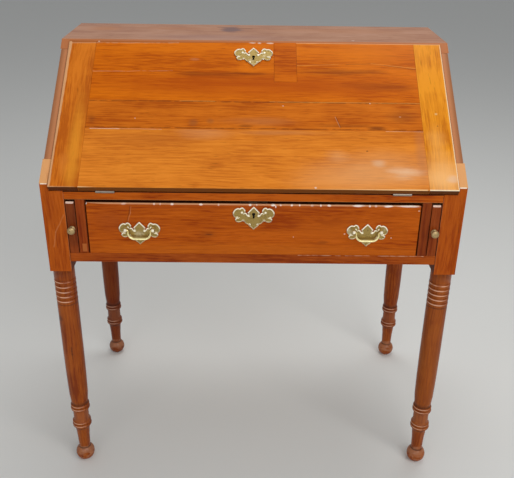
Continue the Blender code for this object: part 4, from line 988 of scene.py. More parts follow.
def front_top(node):
    """Picks the upper front arris of a piece."""
    low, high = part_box(node)
    return arris_at(y=(low.y - NEAR, low.y + NEAR), z=(high.z - NEAR, high.z + NEAR))


LID_TURN = Matrix.Rotation(SLOPE, 4, "X")
LID_OUT = LID_TURN @ Vector((0, 0, 1))
LID_DOWN = LID_TURN @ Vector((0, -1, 0))
OUTER = (LID_FACE - NEAR, LID_FACE + NEAR)
lid_low = arris_at(TO_LID, y=(-NEAR, NEAR), z=OUTER)
lid_under = arris_at(TO_LID, y=(-NEAR, NEAR), z=(-NEAR, NEAR))


def lid_wear(place):
    """Wear of the lid's arrises: by place along the lower one, even up its sides, none underneath."""
    inside = TO_LID @ place
    if inside.z < LID_FACE / 2:
        return 0.0
    if inside.y > LID_EASE:
        return SIDE_WEAR
    return along_x(LID_LOW_WEAR)(place)


print("arrises are picked within", NEAR, "m")

# %% Boards
UP = Vector((0, 0, 1))
RAIL_WEAR = 0.6
DRAWER_TOP_WEAR = 0.9
RAMP_LONG = 0.016
LOPER_WEAR = 1.0
INSIDE_BOARDS = (
    "drawer_back", "drawer_bottom", "rail_rear", "back_board_lower", "back_board_upper", "gallery_shelf",
)
DRAWER_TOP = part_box("drawer_front")[1].z
RAMP_UP = Vector((0, DRAWER_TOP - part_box("loper_left")[1].z, RAMP_LONG)).normalized()
board("top_board", "top", EASE, edge=LID_OUT)
rail_low = arris_at(y=(RAIL_LOW.y - NEAR, RAIL_LOW.y + NEAR), z=(RAIL_LOW.z - NEAR, RAIL_LOW.z + NEAR))
rail_arrises = any_of(front_top("rail_front_upper"), rail_low)
board("rail_front_upper", "rail", EASE, [(rail_arrises, WELL_EASE, even(RAIL_WEAR))])
board("rail_front_lower", "lower_rail", WELL_EASE)
board("writing_bed", "bed", LIGHT_EASE)
for side, sign in SIDES:
    board(f"side_panel_{side}", "panel", EASE, edge=LID_OUT)
    board(f"partition_{side}", "dark", EASE)
    loper = clean_copy(f"loper_{side}")
    sawn_off(loper, (0, FRONT_FACE, DRAWER_TOP), RAMP_UP)
    worn_end = (front_top("drawer_front"), WORN_EASE, even(LOPER_WEAR))
    # The ramp is painted dark, the shade of the gap under the rail.
    board(f"loper_{side}", "loper", EASE, [worn_end], RAMP_UP, loper)
    rim = sign * max(abs(corner.x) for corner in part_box(f"lid_end_{side}"))
    long_arris = arris_at(TO_LID, x=(rim - NEAR, rim + NEAR), z=OUTER)
    outer = (any_of(lid_low, lid_under, long_arris), LID_EASE, lid_wear)
    # Its lower face is painted with the shade under the lid.
    board(f"lid_end_{side}", f"lid_end_{side}", EASE, [outer], LID_DOWN)
    for piece in ("runner", "lid_stop", "drawer_side"):
        board(f"{piece}_{side}", "inside", LIGHT_EASE)
lower_arrises = (any_of(lid_low, lid_under), LID_EASE, lid_wear)
# Its lower face is painted with the shade under the lid.
board("lid_board_lower", "lid_lower", LIGHT_EASE, [lower_arrises], LID_DOWN)
for part in ("middle", "upper"):
    board(f"lid_board_{part}", f"lid_{part}", LIGHT_EASE)
board("lid_patch", "lid_patch", LIGHT_EASE)
drawer_arris = (front_top("drawer_front"), WORN_EASE, even(DRAWER_TOP_WEAR))
# The upper face of the drawer front is painted dark, the shade of the gap under the rail.
board("drawer_front", "drawer", None, [drawer_arris], UP)
for node in INSIDE_BOARDS:
    board(node, "inside", LIGHT_EASE)
for node in [name for name in NODES if name.startswith("gallery_divider")]:
    board(node, "inside_upright", LIGHT_EASE)

# %% [markdown]
# ## One rule for everything round
# Legs, knobs, pull posts, bails and the rims of the plates are all a round section moved along a line, most
# with a radius that changes on the way. One Geometry Nodes tree does that: it takes a chain of points that
# carry their radius and sweeps a circle along it. A lathe (the Screw modifier) would do for the turnings,
# but not for the bent bails.

# %% Sweep tree


def geometry_group(name, inputs):
    tree = bpy.data.node_groups.new(name, "GeometryNodeTree")
    tree.is_modifier = True
    tree.interface.new_socket("Geometry", in_out="INPUT", socket_type="NodeSocketGeometry")
    for label, kind in inputs:
        tree.interface.new_socket(label, in_out="INPUT", socket_type=f"NodeSocket{kind}")
    tree.interface.new_socket("Geometry", in_out="OUTPUT", socket_type="NodeSocketGeometry")
    wiring = Wiring(tree)
    return tree, wiring, wiring.add("NodeGroupInput").outputs, wiring.add("NodeGroupOutput").inputs


def named_attribute(w, name, data_type):
    return w.add("GeometryNodeInputNamedAttribute", {"Name": name}, data_type=data_type).outputs["Attribute"]


def finished(w, target, geometry, material):
    """The end of each tree: real geometry, smooth faces and its finish."""
    real = w.add("GeometryNodeRealizeInstances", {"Geometry": geometry}).outputs[0]
    smooth = w.add("GeometryNodeSetShadeSmooth", {"Geometry": real}).outputs[0]
    w.feed(target[0], w.add("GeometryNodeSetMaterial", {"Geometry": smooth, "Material": material}).outputs[0])


def make_sweep():
    tree, w, source, target = geometry_group("round_sweep", [("Sides", "Int"), ("Finish", "Material")])
    path = w.add("GeometryNodeMeshToCurve", {"Mesh": source["Geometry"]}).outputs[0]
    ring = {"Resolution": source["Sides"], "Radius": 1.0}
    circle = w.add("GeometryNodeCurvePrimitiveCircle", ring).outputs[0]
    inputs = {"Curve": path, "Profile Curve": circle, "Fill Caps": True}
    inputs["Scale"] = named_attribute(w, "turn_radius", "FLOAT")
    finished(w, target, w.add("GeometryNodeCurveToMesh", inputs).outputs[0], source["Finish"])
    return tree


def run_tree(tree, name, mesh, **values):
    """The mesh that a tree makes from another mesh, with the tree's named inputs set first."""
    holder = held(name, mesh)
    modifier = holder.modifiers.new(tree.name, "NODES")
    modifier.node_group = tree
    for item in tree.interface.items_tree:
        if item.in_out == "INPUT" and item.name in values:
            modifier[item.identifier] = values[item.name]
    return evaluated_copy(holder)


SWEEP = make_sweep()
print("tree", SWEEP.name)

# %% Turnings and bent rods
SWEPT = ("turn_radius", "wear", "grime")


def point_mesh(name, points, attributes, edges=()):
    mesh = bpy.data.meshes.new(name)
    mesh.from_pydata([tuple(point) for point in points], list(edges), [])
    for label, kind, field, values in attributes:
        layer = mesh.attributes.new(label, kind, "POINT")
        for slot, value in zip(layer.data, values):
            setattr(slot, field, value)
    return mesh


def tidied(mesh):
    """The same mesh with its doubled points merged and its faces turned outward."""
    shape = bmesh.new()
    shape.from_mesh(mesh)
    bmesh.ops.remove_doubles(shape, verts=shape.verts, dist=MERGE)
    bmesh.ops.recalc_face_normals(shape, faces=shape.faces)
    shape.to_mesh(mesh)
    shape.free()
    return mesh


def sweep(name, points, radii, look, sides, wear=None, grime=None, closed=False):
    edges = [(number, number + 1) for number in range(len(points) - 1)]
    if closed:
        edges.append((len(points) - 1, 0))
    clean = [0.0] * len(points)
    amounts = (radii, wear or clean, grime or clean)
    attributes = [(label, "FLOAT", "value", values) for label, values in zip(SWEPT, amounts)]
    chain = point_mesh(name, points, attributes, edges)
    return tidied(run_tree(SWEEP, name, chain, Sides=sides, Finish=LOOKS[look]))


def turning(name, profile, foot, axis, look, sides, wear=None, grime=None):
    """A turning from (radius, height) points along an axis from a foot point."""
    points = [Vector(foot) + point[1] * Vector(axis) for point in profile]
    return sweep(name, points, [point[0] for point in profile], look, sides, wear, grime)


print("points of a sweep carry", ", ".join(SWEPT))

# %% [markdown]
# ## Legs
# Each leg is one stick of cherry, square where the rails meet it and turned below: five beads, a long shaft
# that narrows slightly, two double rings with a hollow between them, a slim neck and a ball foot. The
# turning is swept fine enough for its grooves to catch light, then joined to the square post so that the
# leg stays one solid. Its profile also says where a highlight is painted, just above the crests, and where
# dirt has stayed, in the grooves, which a plain lathe shape could not. The painted highlights are kept to
# the side that faces the light, and the inner face of each square post is painted with shade.

# %% Leg profile
SHOULDER = 0.567
LEG_SINK = 0.002
ROUND_TOP = 0.0241
BEAD_TOP = 0.5396
BEAD_LEAD = 0.001
BEAD_COUNT = 5
BEAD_PITCH = 0.0127
BEAD_GROOVE = 0.0226
BEAD_CREST = 0.0246
BEAD_FULLNESS = 0.7
SHAFT = ((0.4735, 0.0243), (0.3420, 0.0244), (0.2690, 0.0240), (0.2130, 0.0229), (0.1930, 0.0212))
RINGS = (0.171, 0.119)
RING_HALF = 0.009
RING_GROOVE = 0.0202
RING_CREST = 0.0236
RING_STEP = 0.0008
COVE = 0.0189
NECK = ((0.0174, 0.101), (0.0151, 0.075), (0.0141, 0.0450))
BALL = 0.0233
FOOT_FLAT = 0.009
BALL_STEPS = 18
BEAD_STEPS = 8
GLINT_STEP = 3
# Strength of the painted highlight just above the crest of each bead and of each ring.
BEAD_GLINT = 0.70
RING_GLINT = 0.65
STEP_LEAST = 0.00008


def bead(middle, half, groove, crest, glint=0.0):
    """(radius, height, glint, grime) down one bead: a painted highlight just above its crest, dirt where it
    ends.
    """
    points = []
    for step in range(BEAD_STEPS + 1):
        angle = math.pi * step / BEAD_STEPS
        radius = groove + (crest - groove) * abs(math.sin(angle)) ** BEAD_FULLNESS
        worn_and_glinting = glint if step == GLINT_STEP else 0.0
        points.append((radius, middle + half * math.cos(angle), worn_and_glinting, float(step in (0, BEAD_STEPS))))
    return points


def spaced(points):
    """The profile without points closer together than a hair."""
    kept = [points[0]]
    for point in points[1:]:
        if kept[-1][1] - point[1] > STEP_LEAST:
            kept.append(point)
    return kept


def leg_profile():
    points = [(ROUND_TOP, SHOULDER + LEG_SINK, 0, 0), (ROUND_TOP, BEAD_TOP + BEAD_LEAD, 0, 0)]
    for number in range(BEAD_COUNT):
        middle = BEAD_TOP - (number + 0.5) * BEAD_PITCH
        points += bead(middle, BEAD_PITCH / 2, BEAD_GROOVE, BEAD_CREST, BEAD_GLINT)
    points += [(radius, height, 0, 0) for height, radius in SHAFT]
    cove_half = (RINGS[0] - RINGS[1]) / 2 - RING_HALF
    for number, ring in enumerate(RINGS):
        points += bead(ring + RING_HALF / 2, RING_HALF / 2, RING_GROOVE, RING_CREST - RING_STEP, RING_GLINT)
        points += bead(ring - RING_HALF / 2, RING_HALF / 2, RING_GROOVE, RING_CREST, RING_GLINT)
        if number == 0:
            points += [(*point[:2], 0, 0) for point in bead(sum(RINGS) / 2, cove_half, RING_GROOVE, COVE)]
    points += [(*point, 0, 0) for point in NECK]
    ball_z = math.sqrt(BALL**2 - FOOT_FLAT**2)
    start = math.asin(NECK[-1][0] / BALL)
    end = math.pi - math.asin(FOOT_FLAT / BALL)
    for step in range(BALL_STEPS + 1):
        angle = start + (end - start) * step / BALL_STEPS
        points.append((BALL * math.sin(angle), ball_z + BALL * math.cos(angle), 0, float(step == 0)))
    return spaced(points)


profile = leg_profile()
print("leg profile of", len(profile), "points")

# %% Square posts
SHOULDER_CUT = 0.0002
SLANT_WEAR = ((-0.46, 1.0), (-0.445, 0.6), (-0.40, 0.4), (0.40, 1.0), (0.46, 1.0))
SLANT_END = arris_at(y=(POST_FACE - NEAR, POST_FACE + NEAR), z=(SLANT_LOW_Z - NEAR, SLANT_LOW_Z + NEAR))


def post_corner(node):
    """Picks the two upright arrises of a post on the open side of the case."""
    low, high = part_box(node)
    open_y = low.y if low.y < 0 else high.y
    side = (open_y - NEAR, open_y + NEAR)
    return any_of(*[arris_at(x=(x - NEAR, x + NEAR), y=side) for x in (low.x, high.x)])


def square_post(node):
    """The square upper part of a leg, cut from its solid with its mortises, with eased arrises and painted
    shade on its inner face.
    """
    shape = clean_copy(node)
    sawn_off(shape, (0, 0, SHOULDER + SHOULDER_CUT), (0, 0, -1))
    ease(shape, WELL_EASE, chosen=post_corner(node), amount=even(FAINT_WEAR))
    ease(shape, HEAVY_EASE, chosen=SLANT_END, amount=along_x(SLANT_WEAR))
    bmesh.ops.dissolve_degenerate(shape, dist=MERGE, edges=shape.edges)
    inner_shade = shape.verts.layers.float.new("grime")
    low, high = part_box(node)
    inner = min(abs(low.x), abs(high.x))
    # Painted shade: the inner face of the post, which looks into the case, is marked dark.
    for vert in shape.verts:
        vert[inner_shade] = float(abs(abs(vert.co.x) - inner) < MERGE)
    return to_mesh(node + "_post", shape)


print("posts start at", SHOULDER, "m")

# %% Legs
LEG_SIDES = 56
# Only the side of each leg that faces the light keeps its painted highlights.
LIT_SIDE = Vector((-0.55, -0.83, 0))
LIT_LEAST = 0.25


def combined(name, mesh, tool_mesh, operation):
    """One mesh joined with another, or cut by it."""
    holder = held(name, mesh)
    tool = held(name + "_tool", tool_mesh)
    modifier = holder.modifiers.new("combined", "BOOLEAN")
    modifier.object = tool
    modifier.operation = operation
    result = evaluated_copy(holder)
    bpy.data.objects.remove(tool, do_unlink=True)
    return result


def glint_side(mesh, foot):
    """Keeps the painted highlights of a turning to the side that faces the light."""
    for slot, vert in zip(mesh.attributes["wear"].data, mesh.vertices):
        out = Vector((vert.co.x - foot[0], vert.co.y - foot[1], 0))
        share = LIT_LEAST + out.normalized().dot(LIT_SIDE)
        slot.value *= min(1.0, max(0.0, share))


def carry_wear(whole, parts):
    """Gives each point of a joined mesh the wear and painted highlights, and the dirt and painted shade, of
    the nearest point of its parts.
    """
    points = [(part, vert) for part in parts for vert in part.vertices]
    tree = KDTree(len(points))
    for number, (_, vert) in enumerate(points):
        tree.insert(vert.co, number)
    tree.balance()
    nearest = [points[tree.find(vert.co)[1]] for vert in whole.vertices]
    for label in ("wear", "grime"):
        for slot, (part, vert) in zip(whole.attributes[label].data, nearest):
            source = part.attributes.get(label)
            slot.value = source.data[vert.index].value if source else 0.0


for node in [name for name in NODES if name.startswith("leg_")]:
    low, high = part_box(node)
    foot = ((low.x + high.x) / 2, (low.y + high.y) / 2, 0)
    _, _, worn_and_glinting, dirty_and_shaded = zip(*profile)
    turned = turning(node, profile, foot, UP, "leg", LEG_SIDES, worn_and_glinting, dirty_and_shaded)
    glint_side(turned, foot)
    post = square_post(node)
    whole = with_flat_faces(node, combined(node, turned.copy(), post.copy(), "UNION"))
    carry_wear(whole, (turned, post))
    mark_faces(whole, LID_OUT, SHOULDER)
    leg = stand_in(node, whole, "leg")
    leg.data.materials.append(LOOKS["post"])
    for face in leg.data.polygons:
        face.material_index = int(face.center.z > SHOULDER)
print("four legs of", LEG_SIDES, "sides")

# %% [markdown]
# ## Sheet brass plates
# The plates are sawn from sheet brass to a batwing outline and filed to a bright rim, which carries a
# painted highlight where it faces up. A filled curve gives the sheet, with the keyhole as an inner outline,
# and a fine bead swept along the same outline gives the rim. A bevelled curve alone would make the rim too
# thin to be seen from a step away.

# %% Plate outlines
PLATE_HALF = (0.0455, 0.0275)
KEYHOLE_RADIUS = 0.0036
KEYHOLE_SLOT = 0.0020
KEYHOLE_DROP = 0.0100
KEYHOLE_STEPS = 20
BATWING = (
    (0.00, 0.99, True), (0.14, 0.74, False), (0.27, 0.49, True), (0.205, 0.34, False),
    (0.233, 0.18, False), (0.324, 0.29, False), (0.396, 0.44, False), (0.505, 0.40, True),
    (0.44, 0.565, False), (0.46, 0.76, False), (0.578, 0.92, False), (0.67, 0.82, True),
    (0.796, 0.845, False), (0.933, 0.677, False), (0.996, 0.42, False), (0.942, 0.16, False),
    (0.833, 0.05, False), (0.715, 0.03, True), (0.878, -0.085, False), (0.864, -0.226, False),
    (0.77, -0.32, False), (0.64, -0.29, False), (0.518, -0.113, True), (0.44, -0.274, False),
    (0.342, -0.468, False), (0.224, -0.53, True), (0.187, -0.69, False), (0.078, -0.84, False),
    (0.00, -0.99, True),
)


def closed_spline(curve, points):
    """A closed Bezier line through (x, y, sharp) points."""
    spline = curve.splines.new("BEZIER")
    spline.bezier_points.add(len(points) - 1)
    spline.use_cyclic_u = True
    for target, (x, y, sharp) in zip(spline.bezier_points, points):
        target.co = (x, y, 0)
        target.handle_left_type = "VECTOR" if sharp else "AUTO"
        target.handle_right_type = target.handle_left_type


def keyhole_outline(height):
    """A round hole with a slot under it, as (x, y, sharp) points about a height."""
    open_angle = math.asin(KEYHOLE_SLOT / KEYHOLE_RADIUS)
    span = 2 * (math.pi - open_angle)
    points = []
    for step in range(KEYHOLE_STEPS + 1):
        angle = -math.pi / 2 + open_angle + span * step / KEYHOLE_STEPS
        points.append((KEYHOLE_RADIUS * math.cos(angle), height + KEYHOLE_RADIUS * math.sin(angle), True))
    points += [(-KEYHOLE_SLOT, height - KEYHOLE_DROP, True), (KEYHOLE_SLOT, height - KEYHOLE_DROP, True)]
    return points


def batwing_outline(inset=0.0):
    half_wide = PLATE_HALF[0] - inset
    half_high = PLATE_HALF[1] - inset
    right = [(x * half_wide, y * half_high, sharp) for x, y, sharp in BATWING]
    left = [(-x, y, sharp) for x, y, sharp in reversed(right[1:-1])]
    return [*right, *left]


print("batwing outline of", len(batwing_outline()), "points")

# %% Plates
PLATE_THICK = 0.0015
PLATE_STEPS = 8
RIM_RADIUS = 0.0014
RIM_SIDES = 8
RIM_LEAST = 0.24
RIM_SIDE = 0.30
LID_KEY_UP = 0.001
DRAWER_KEY_UP = 0.0094


def rim_wear(points):
    """Painted highlight along a rim that runs clockwise: bright where it looks up, dull where it looks down.
    """
    amounts = []
    for before, after in zip(points[-1:] + points[:-1], points[1:] + points[:1]):
        way = after - before
        amounts.append(min(1.0, max(RIM_LEAST, RIM_SIDE + way.x / way.length)))
    return amounts


def outline_mesh(name, outlines, **settings):
    """The mesh of a curve through closed outlines."""
    curve = bpy.data.curves.new(name, "CURVE")
    curve.resolution_u = PLATE_STEPS
    for key, value in settings.items():
        setattr(curve, key, value)
    for outline in outlines:
        closed_spline(curve, outline)
    return evaluated_copy(held(name, curve))


def plate_mesh(name, key_height=None):
    """A plate lying in X and Y with its face up at half its thickness."""
    outlines = [batwing_outline()]
    if key_height is not None:
        outlines.append(keyhole_outline(key_height))
    half = PLATE_THICK / 2
    sheet = tidied(outline_mesh(name, outlines, dimensions="2D", fill_mode="BOTH", extrude=half))
    path = outline_mesh(name + "_edge", [batwing_outline(RIM_RADIUS)], dimensions="3D")
    points = [vert.co + half * UP for vert in path.vertices]
    radii = [RIM_RADIUS] * len(points)
    rim = sweep(name + "_rim", points, radii, "brass", RIM_SIDES, rim_wear(points), closed=True)
    shape = bmesh.new()
    shape.verts.layers.float.new("wear")
    shape.from_mesh(sheet)
    shape.from_mesh(rim)
    return shaded(to_mesh(name, shape))


def middle_of(node):
    low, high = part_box(node)
    return (low + high) / 2


def plate(node, turn, key_height=None):
    mesh = plate_mesh(node, key_height)
    mesh.transform(Matrix.Translation(middle_of(node)) @ turn)
    stand_in(node, mesh, "brass")


for side, _ in SIDES:
    plate(f"pull_{side}_plate", FACING_FRONT)
plate("drawer_escutcheon", FACING_FRONT, DRAWER_KEY_UP)
plate("lid_escutcheon", LID_TURN, LID_KEY_UP)
print("four plates")

# %% [markdown]
# ## Pulls and knobs
# A pull hangs its bail in two cast posts, each a ball on a neck with a flange that sits on the plate. The
# bail is cast thicker in the middle, where the fingers go, than at its ends, which turn in the eyes of the
# posts. The knobs of the lid supports are small turned mushrooms. They could be modelled face by face, but
# a few sizes describe each of them, so all come from the sweep. The eyes are drilled with a Boolean, as
# they are on the real posts.

# %% Pull posts
FRONT = Vector((0, -1, 0))
POST_REACH = 0.008
POST_BALL = 0.0040
POST_NECK = 0.0028
POST_FLANGE = 0.0055
POST_FLANGE_THICK = 0.002
POST_FILLET = 0.0006
POST_SHANK = 0.0024
POST_SIDES = 28
EYE_RADIUS = 0.0021
EYE_SIDES = 20
SEAT = 0.0003
HAIR = 0.0001
BEND_STEPS = 12
POLE_ANGLE = 0.02


def rounded_head(radius, half, neck, middle):
    """(radius, height) points of a round head, from its pole down to its neck."""
    widest = math.pi - math.asin(neck / radius)
    angles = [max(widest * step / BEND_STEPS, POLE_ANGLE) for step in range(BEND_STEPS + 1)]
    return [(radius * math.sin(angle), middle + half * math.cos(angle)) for angle in angles]


post_rings = rounded_head(POST_BALL, POST_BALL, POST_NECK, POST_REACH)
post_rings += [(POST_NECK, POST_FLANGE_THICK + POST_FILLET), (POST_FLANGE, POST_FLANGE_THICK)]
post_rings += [(POST_FLANGE, SEAT), (POST_SHANK, SEAT - HAIR)]


def pull_post(node, ball):
    """A turned post about the middle of its ball, with the eye that the bail turns in."""
    rings = spaced(post_rings)
    # The outer half of each ball is painted bright, a painted highlight.
    worn_and_glinting = [float(height > POST_REACH) for _, height in rings]
    post = turning(node, rings, ball - POST_REACH * FRONT, FRONT, "brass", POST_SIDES, worn_and_glinting)
    ends = [ball + Vector((way * 2 * POST_BALL, 0, 0)) for way in (-1, 1)]
    eye = sweep(node + "_eye", ends, [EYE_RADIUS] * 2, "brass", EYE_SIDES)
    stand_in(node, shaded(tidied(combined(node, post, eye, "DIFFERENCE"))), "brass")


print("a post has", len(post_rings), "rings and stands out by", POST_REACH + POST_BALL, "m")

# %% Bails
BAIL_ENDS = 0.0315
BAIL_HALF = 0.0245
BAIL_DROP = 0.0210
BAIL_TOP_BEND = 0.0025
BAIL_LOW_BEND = 0.0140
BAIL_THIN = 0.0016
BAIL_THICK = 0.0024
BAIL_SWELL = 1.5
BAIL_SIDES = 20


def bent(corners, radii):
    """Points along straight runs between corners, each corner rounded to its radius."""
    points = [corners[0]]
    for before, corner, after, radius in zip(corners, corners[1:], corners[2:], radii):
        start = corner + (before - corner).normalized() * radius
        end = corner + (after - corner).normalized() * radius
        centre = start + end - corner
        for step in range(BEND_STEPS + 1):
            angle = math.pi / 2 * step / BEND_STEPS
            points.append(centre + (start - centre) * math.cos(angle) + (end - centre) * math.sin(angle))
    points.append(corners[-1])
    return [point for point, after in zip(points, points[1:]) if (after - point).length > HAIR] + points[-1:]


def bail_mesh(name, axis):
    places = ((-BAIL_ENDS, 0), (-BAIL_HALF, 0), (-BAIL_HALF, -BAIL_DROP))
    corners = [axis + Vector((x, 0, z)) for x, z in places]
    corners += [axis + Vector((-x, 0, z)) for x, z in reversed(places)]
    points = bent(corners, (BAIL_TOP_BEND, BAIL_LOW_BEND, BAIL_LOW_BEND, BAIL_TOP_BEND))
    shares = [max(0.0, (axis.z - point.z) / BAIL_DROP) for point in points]
    radii = [BAIL_THIN + (BAIL_THICK - BAIL_THIN) * share**BAIL_SWELL for share in shares]
    return sweep(name, points, radii, "bail", BAIL_SIDES, shares)


for side, _ in SIDES:
    for node in (f"pull_{side}_post_inner", f"pull_{side}_post_outer"):
        ball = middle_of(node)
        ball.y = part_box(f"pull_{side}_plate")[0].y - POST_REACH
        pull_post(node, ball)
    node = f"pull_{side}_bail"
    stand_in(node, bail_mesh(node, Vector((middle_of(node).x, ball.y, ball.z))), "bail")
print("two pulls")

# %% Knobs
KNOB_REACH = 0.017
KNOB_RADIUS = 0.009
KNOB_NECK = 0.0045
KNOB_HALF = 0.0048
KNOB_FLANGE = 0.007
KNOB_FLANGE_THICK = 0.0024
KNOB_SHANK = 0.003
KNOB_SHANK_LONG = 0.012
KNOB_SEAT = 0.0004
KNOB_SIDES = 40

knob = rounded_head(KNOB_RADIUS, KNOB_HALF, KNOB_NECK, KNOB_REACH - KNOB_HALF)
knob += [(KNOB_NECK, 2 * KNOB_FLANGE_THICK), (KNOB_FLANGE, KNOB_FLANGE_THICK), (KNOB_FLANGE, KNOB_SEAT)]
knob += [(KNOB_SHANK, KNOB_SEAT - HAIR), (KNOB_SHANK, -KNOB_SHANK_LONG)]
for side, _ in SIDES:
    node = f"loper_knob_{side}"
    place = middle_of(node)
    place.y = FRONT_FACE
    stand_in(node, shaded(turning(node, spaced(knob), place, FRONT, "knob", KNOB_SIDES)), "knob")
print("two knobs")

# %% [markdown]
# ## Hinges and locks
# The butt hinges and the two box locks are iron, let in flush. They could be modelled afresh, but little of
# them shows and their solids have the right shape, so each is a clean copy with its edges lightly broken.

# %% Ironwork
IRON_EASE = 0.0003
IRON_LEAST = 0.004
for node in [name for name, slot in SLOTS.items() if slot == "iron"]:
    shape = clean_copy(node)
    ease(shape, IRON_EASE, IRON_LEAST)
    stand_in(node, with_flat_faces(node, to_mesh(node, shape)), "iron")

# %% [markdown]
# ## Screws and pins
# Small fastenings repeat all over the ironwork and the brass: slotted screws in the hinge leaves and the
# lock cases, domed pins in the notches of the plates. Another Geometry Nodes tree sets one low dome on each
# of a list of points, turned to face the way its point says, with a slot cut in it if it is a screw.
# Copying one modelled screw by hand would do as well, but then a change of size would have to be made many
# times.

# %% Heads tree
HEAD_RISE = 0.35
HEAD_SEGMENTS = 20
HEAD_RINGS = 12
SLOT_SIZE = (2.4, 0.30, 0.5)


def make_heads():
    tree, w, source, target = geometry_group("small_heads", [("Slotted", "Bool"), ("Finish", "Material")])
    sizes = {"Segments": HEAD_SEGMENTS, "Rings": HEAD_RINGS, "Radius": 1.0}
    ball = w.add("GeometryNodeMeshUVSphere", sizes).outputs["Mesh"]
    dome = w.add("GeometryNodeTransform", {"Geometry": ball, "Scale": (1, 1, HEAD_RISE)}).outputs[0]
    bar = w.add("GeometryNodeMeshCube", {"Size": SLOT_SIZE}).outputs["Mesh"]
    slot = w.add("GeometryNodeTransform", {"Geometry": bar, "Translation": (0, 0, HEAD_RISE)}).outputs[0]
    cut = w.add("GeometryNodeMeshBoolean", {"Mesh 1": dome, "Mesh 2": slot}, operation="DIFFERENCE")
    choice = {"Switch": source["Slotted"], "False": dome, "True": cut.outputs["Mesh"]}
    head = w.add("GeometryNodeSwitch", choice, input_type="GEOMETRY")
    facing = named_attribute(w, "facing", "FLOAT_VECTOR")
    faced = w.add("FunctionNodeAlignRotationToVector", {"Vector": facing}, axis="Z").outputs[0]
    angle = named_attribute(w, "turn", "FLOAT")
    spin = w.add("FunctionNodeAxisAngleToRotation", {"Axis": (0, 0, 1), "Angle": angle}).outputs[0]
    turns = {"Rotation": faced, "Rotate By": spin}
    turned = w.add("FunctionNodeRotateRotation", turns, rotation_space="LOCAL").outputs[0]
    inputs = {"Points": source["Geometry"], "Instance": head.outputs[0], "Rotation": turned}
    inputs["Scale"] = named_attribute(w, "head_size", "FLOAT")
    finished(w, target, w.add("GeometryNodeInstanceOnPoints", inputs).outputs[0], source["Finish"])
    return tree


HEADS = make_heads()
print("tree", HEADS.name)

# %% Screws and pins
TURN_STEP = 2.4
SCREW_SIZE = 0.0030
PIN_SIZE = 0.0026
PIN_PLACES = ((0.232, 0.23), (0.56, 0.48), (0.79, 0.04), (0.50, -0.17), (0.195, -0.55))
LEAF_SCREWS = (-0.013, 0.0, 0.013)
LEAF_IN = 0.013
LOCK_IN = 0.006


def heads(name, places, size, body, look):
    """One piece of heads on a body, from (place, facing) pairs. Those of iron are slotted screws."""
    points, facings = zip(*places)
    turns = [TURN_STEP * number for number in range(len(points))]
    attributes = [("facing", "FLOAT_VECTOR", "vector", facings), ("turn", "FLOAT", "value", turns)]
    attributes += [("head_size", "FLOAT", "value", [size] * len(points))]
    chain = point_mesh(name, points, attributes)
    mesh = run_tree(HEADS, name, chain, Slotted=look == "iron", Finish=LOOKS[look])
    # Each head is painted bright all over, a painted highlight.
    layer = mesh.attributes.new("wear", "FLOAT", "POINT")
    for vert in layer.data:
        vert.value = 1.0
    mesh.set_sharp_from_angle(angle=SMOOTH_ANGLE)
    piece = held(name, mesh)
    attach(piece, body)


def plate_pins(node, turn):
    """Places of the pins in the notches of a plate."""
    out = turn.to_3x3() @ Vector((0, 0, PLATE_THICK / 2))
    places = []
    for x, y in PIN_PLACES:
        for way in (-1, 1):
            flat = turn.to_3x3() @ Vector((way * x * PLATE_HALF[0], y * PLATE_HALF[1], 0))
            places.append((middle_of(node) + flat + out, out.normalized()))
    return places


def lock_corners(low, high):
    """The four screw places of a lock case, as (across, up) pairs."""
    across, upward = [(start + LOCK_IN, end - LOCK_IN) for start, end in zip(low, high)]
    return [(x, up) for x in across for up in upward]


drawer_plates = [f"pull_{side}_plate" for side, _ in SIDES] + ["drawer_escutcheon"]
drawer_pins = [pin for node in drawer_plates for pin in plate_pins(node, FACING_FRONT)]
heads("drawer_plate_pins", drawer_pins, PIN_SIZE, "drawer", "brass")
heads("lid_plate_pins", plate_pins("lid_escutcheon", LID_TURN), PIN_SIZE, "lid", "brass")

leaf_places = [middle_of(f"hinge_{side}_pin").x + x for side, _ in SIDES for x in LEAF_SCREWS]
rail_screws = [((x, HINGE_Y + LEAF_IN, RAIL_HIGH.z), UP) for x in leaf_places]
heads("case_leaf_screws", rail_screws, SCREW_SIZE, "case", "iron")
low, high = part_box("lid_lock_case")
lock_low = (low.x, (TO_LID @ Vector((0, low.y, low.z))).y)
lock_high = (high.x, (TO_LID @ Vector((0, high.y, high.z))).y)
lid_places = [(x, LEAF_IN) for x in leaf_places] + lock_corners(lock_low, lock_high)
lid_screws = [(LID_FRAME @ Vector((x, up, 0)), -LID_OUT) for x, up in lid_places]
heads("lid_inner_screws", lid_screws, SCREW_SIZE, "lid", "iron")
low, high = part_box("drawer_lock_case")
lock_screws = [((x, high.y, z), (0, 1, 0)) for x, z in lock_corners((low.x, low.z), (high.x, high.z))]
heads("drawer_lock_screws", lock_screws, SCREW_SIZE, "drawer", "iron")

# %% [markdown]
# ## Camera
# The camera stands where the photograph was taken from, a little above the desk and looking down at it. Its
# place, turn and lens were fitted to the corners of the desk in the photograph, so that the two pictures
# lie over each other. Placing it by eye would be quicker, but small errors would then hide real
# differences.

# %% Camera
PHOTO_WIDE = 514
FOCAL_PIXELS = 718.17
EYE = (-0.00635, -1.6777, 1.35048)
YAW = math.radians(-0.5745)
PITCH = math.radians(26.139)
ROLL = math.radians(0.8067)
SENSOR = 36.0

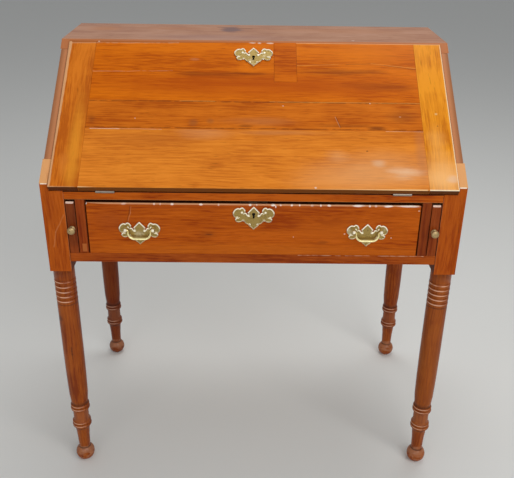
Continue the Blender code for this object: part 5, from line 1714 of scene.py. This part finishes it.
camera_data = bpy.data.cameras.new("camera")
camera_data.sensor_width = SENSOR
camera_data.lens = FOCAL_PIXELS * SENSOR / PHOTO_WIDE
camera = bpy.data.objects.new("camera", camera_data)
bpy.context.scene.collection.objects.link(camera)
level = Matrix.Rotation(YAW, 4, "Z") @ Matrix.Rotation(math.pi / 2 - PITCH, 4, "X")
camera.matrix_world = Matrix.Translation(EYE) @ level @ Matrix.Rotation(ROLL, 4, "Z")
bpy.context.scene.camera = camera
print("lens of", round(camera_data.lens, 1), "mm")

# %% [markdown]
# ## Floor and light
# A pale floor, and a soft room: one large lamp above and in front, a weaker one overhead, and a wide fill
# from the front. One bright sky would be simpler, but varnish mirrors it and a bright room veils the wood,
# so the room itself is dim.

# %% Floor and light
FLOOR_HALF = 30.0
FLOOR_COLOR = (0.80, 0.80, 0.77, 1.0)
FLOOR_ROUGHNESS = 0.9
FLOOR_SPECULAR = 0.1
ROOM = (0.95, 0.97, 1.0, 1.0)
ROOM_STRENGTH = 0.32
LAMPS = (
    ("key", (1.6, -2.9, 2.9), (0.0, -0.1, 0.6), (2.8, 2.2), 66.0),
    ("overhead", (0.3, 0.9, 3.2), (0.0, 0.1, 0.8), (2.0, 1.2), 28.0),
    ("fill", (-1.2, -4.2, 1.8), (0.0, 0.0, 0.5), (3.0, 2.0), 34.0),
)

floor_shape = bmesh.new()
bmesh.ops.create_grid(floor_shape, x_segments=1, y_segments=1, size=FLOOR_HALF)
floor = held("floor", to_mesh("floor", floor_shape))
floor_look = bpy.data.materials.new("pale_floor")
floor_look.use_nodes = True
floor_shader = floor_look.node_tree.nodes["Principled BSDF"].inputs
floor_shader["Base Color"].default_value = FLOOR_COLOR
floor_shader["Roughness"].default_value = FLOOR_ROUGHNESS
floor_shader["Specular IOR Level"].default_value = FLOOR_SPECULAR
floor.data.materials.append(floor_look)

world = bpy.data.worlds.new("room")
world.use_nodes = True
bpy.context.scene.world = world
background = world.node_tree.nodes["Background"]
background.inputs["Color"].default_value = ROOM
background.inputs["Strength"].default_value = ROOM_STRENGTH

for name, place, aim, size, watts in LAMPS:
    lamp_data = bpy.data.lights.new(name, "AREA")
    lamp_data.shape = "RECTANGLE"
    lamp_data.size, lamp_data.size_y = size
    lamp_data.energy = watts
    lamp = bpy.data.objects.new(name, lamp_data)
    bpy.context.scene.collection.objects.link(lamp)
    lamp.location = place
    lamp.rotation_euler = (Vector(aim) - Vector(place)).to_track_quat("-Z", "Y").to_euler()
bpy.context.scene.view_settings.view_transform = "Standard"
print(len(LAMPS), "soft lamps")

# %% [markdown]
# ## Size and finish
# Rounding arrises takes wood away and rims add a hair, so the dressed desk should keep the size of its
# solids to within a millimetre.
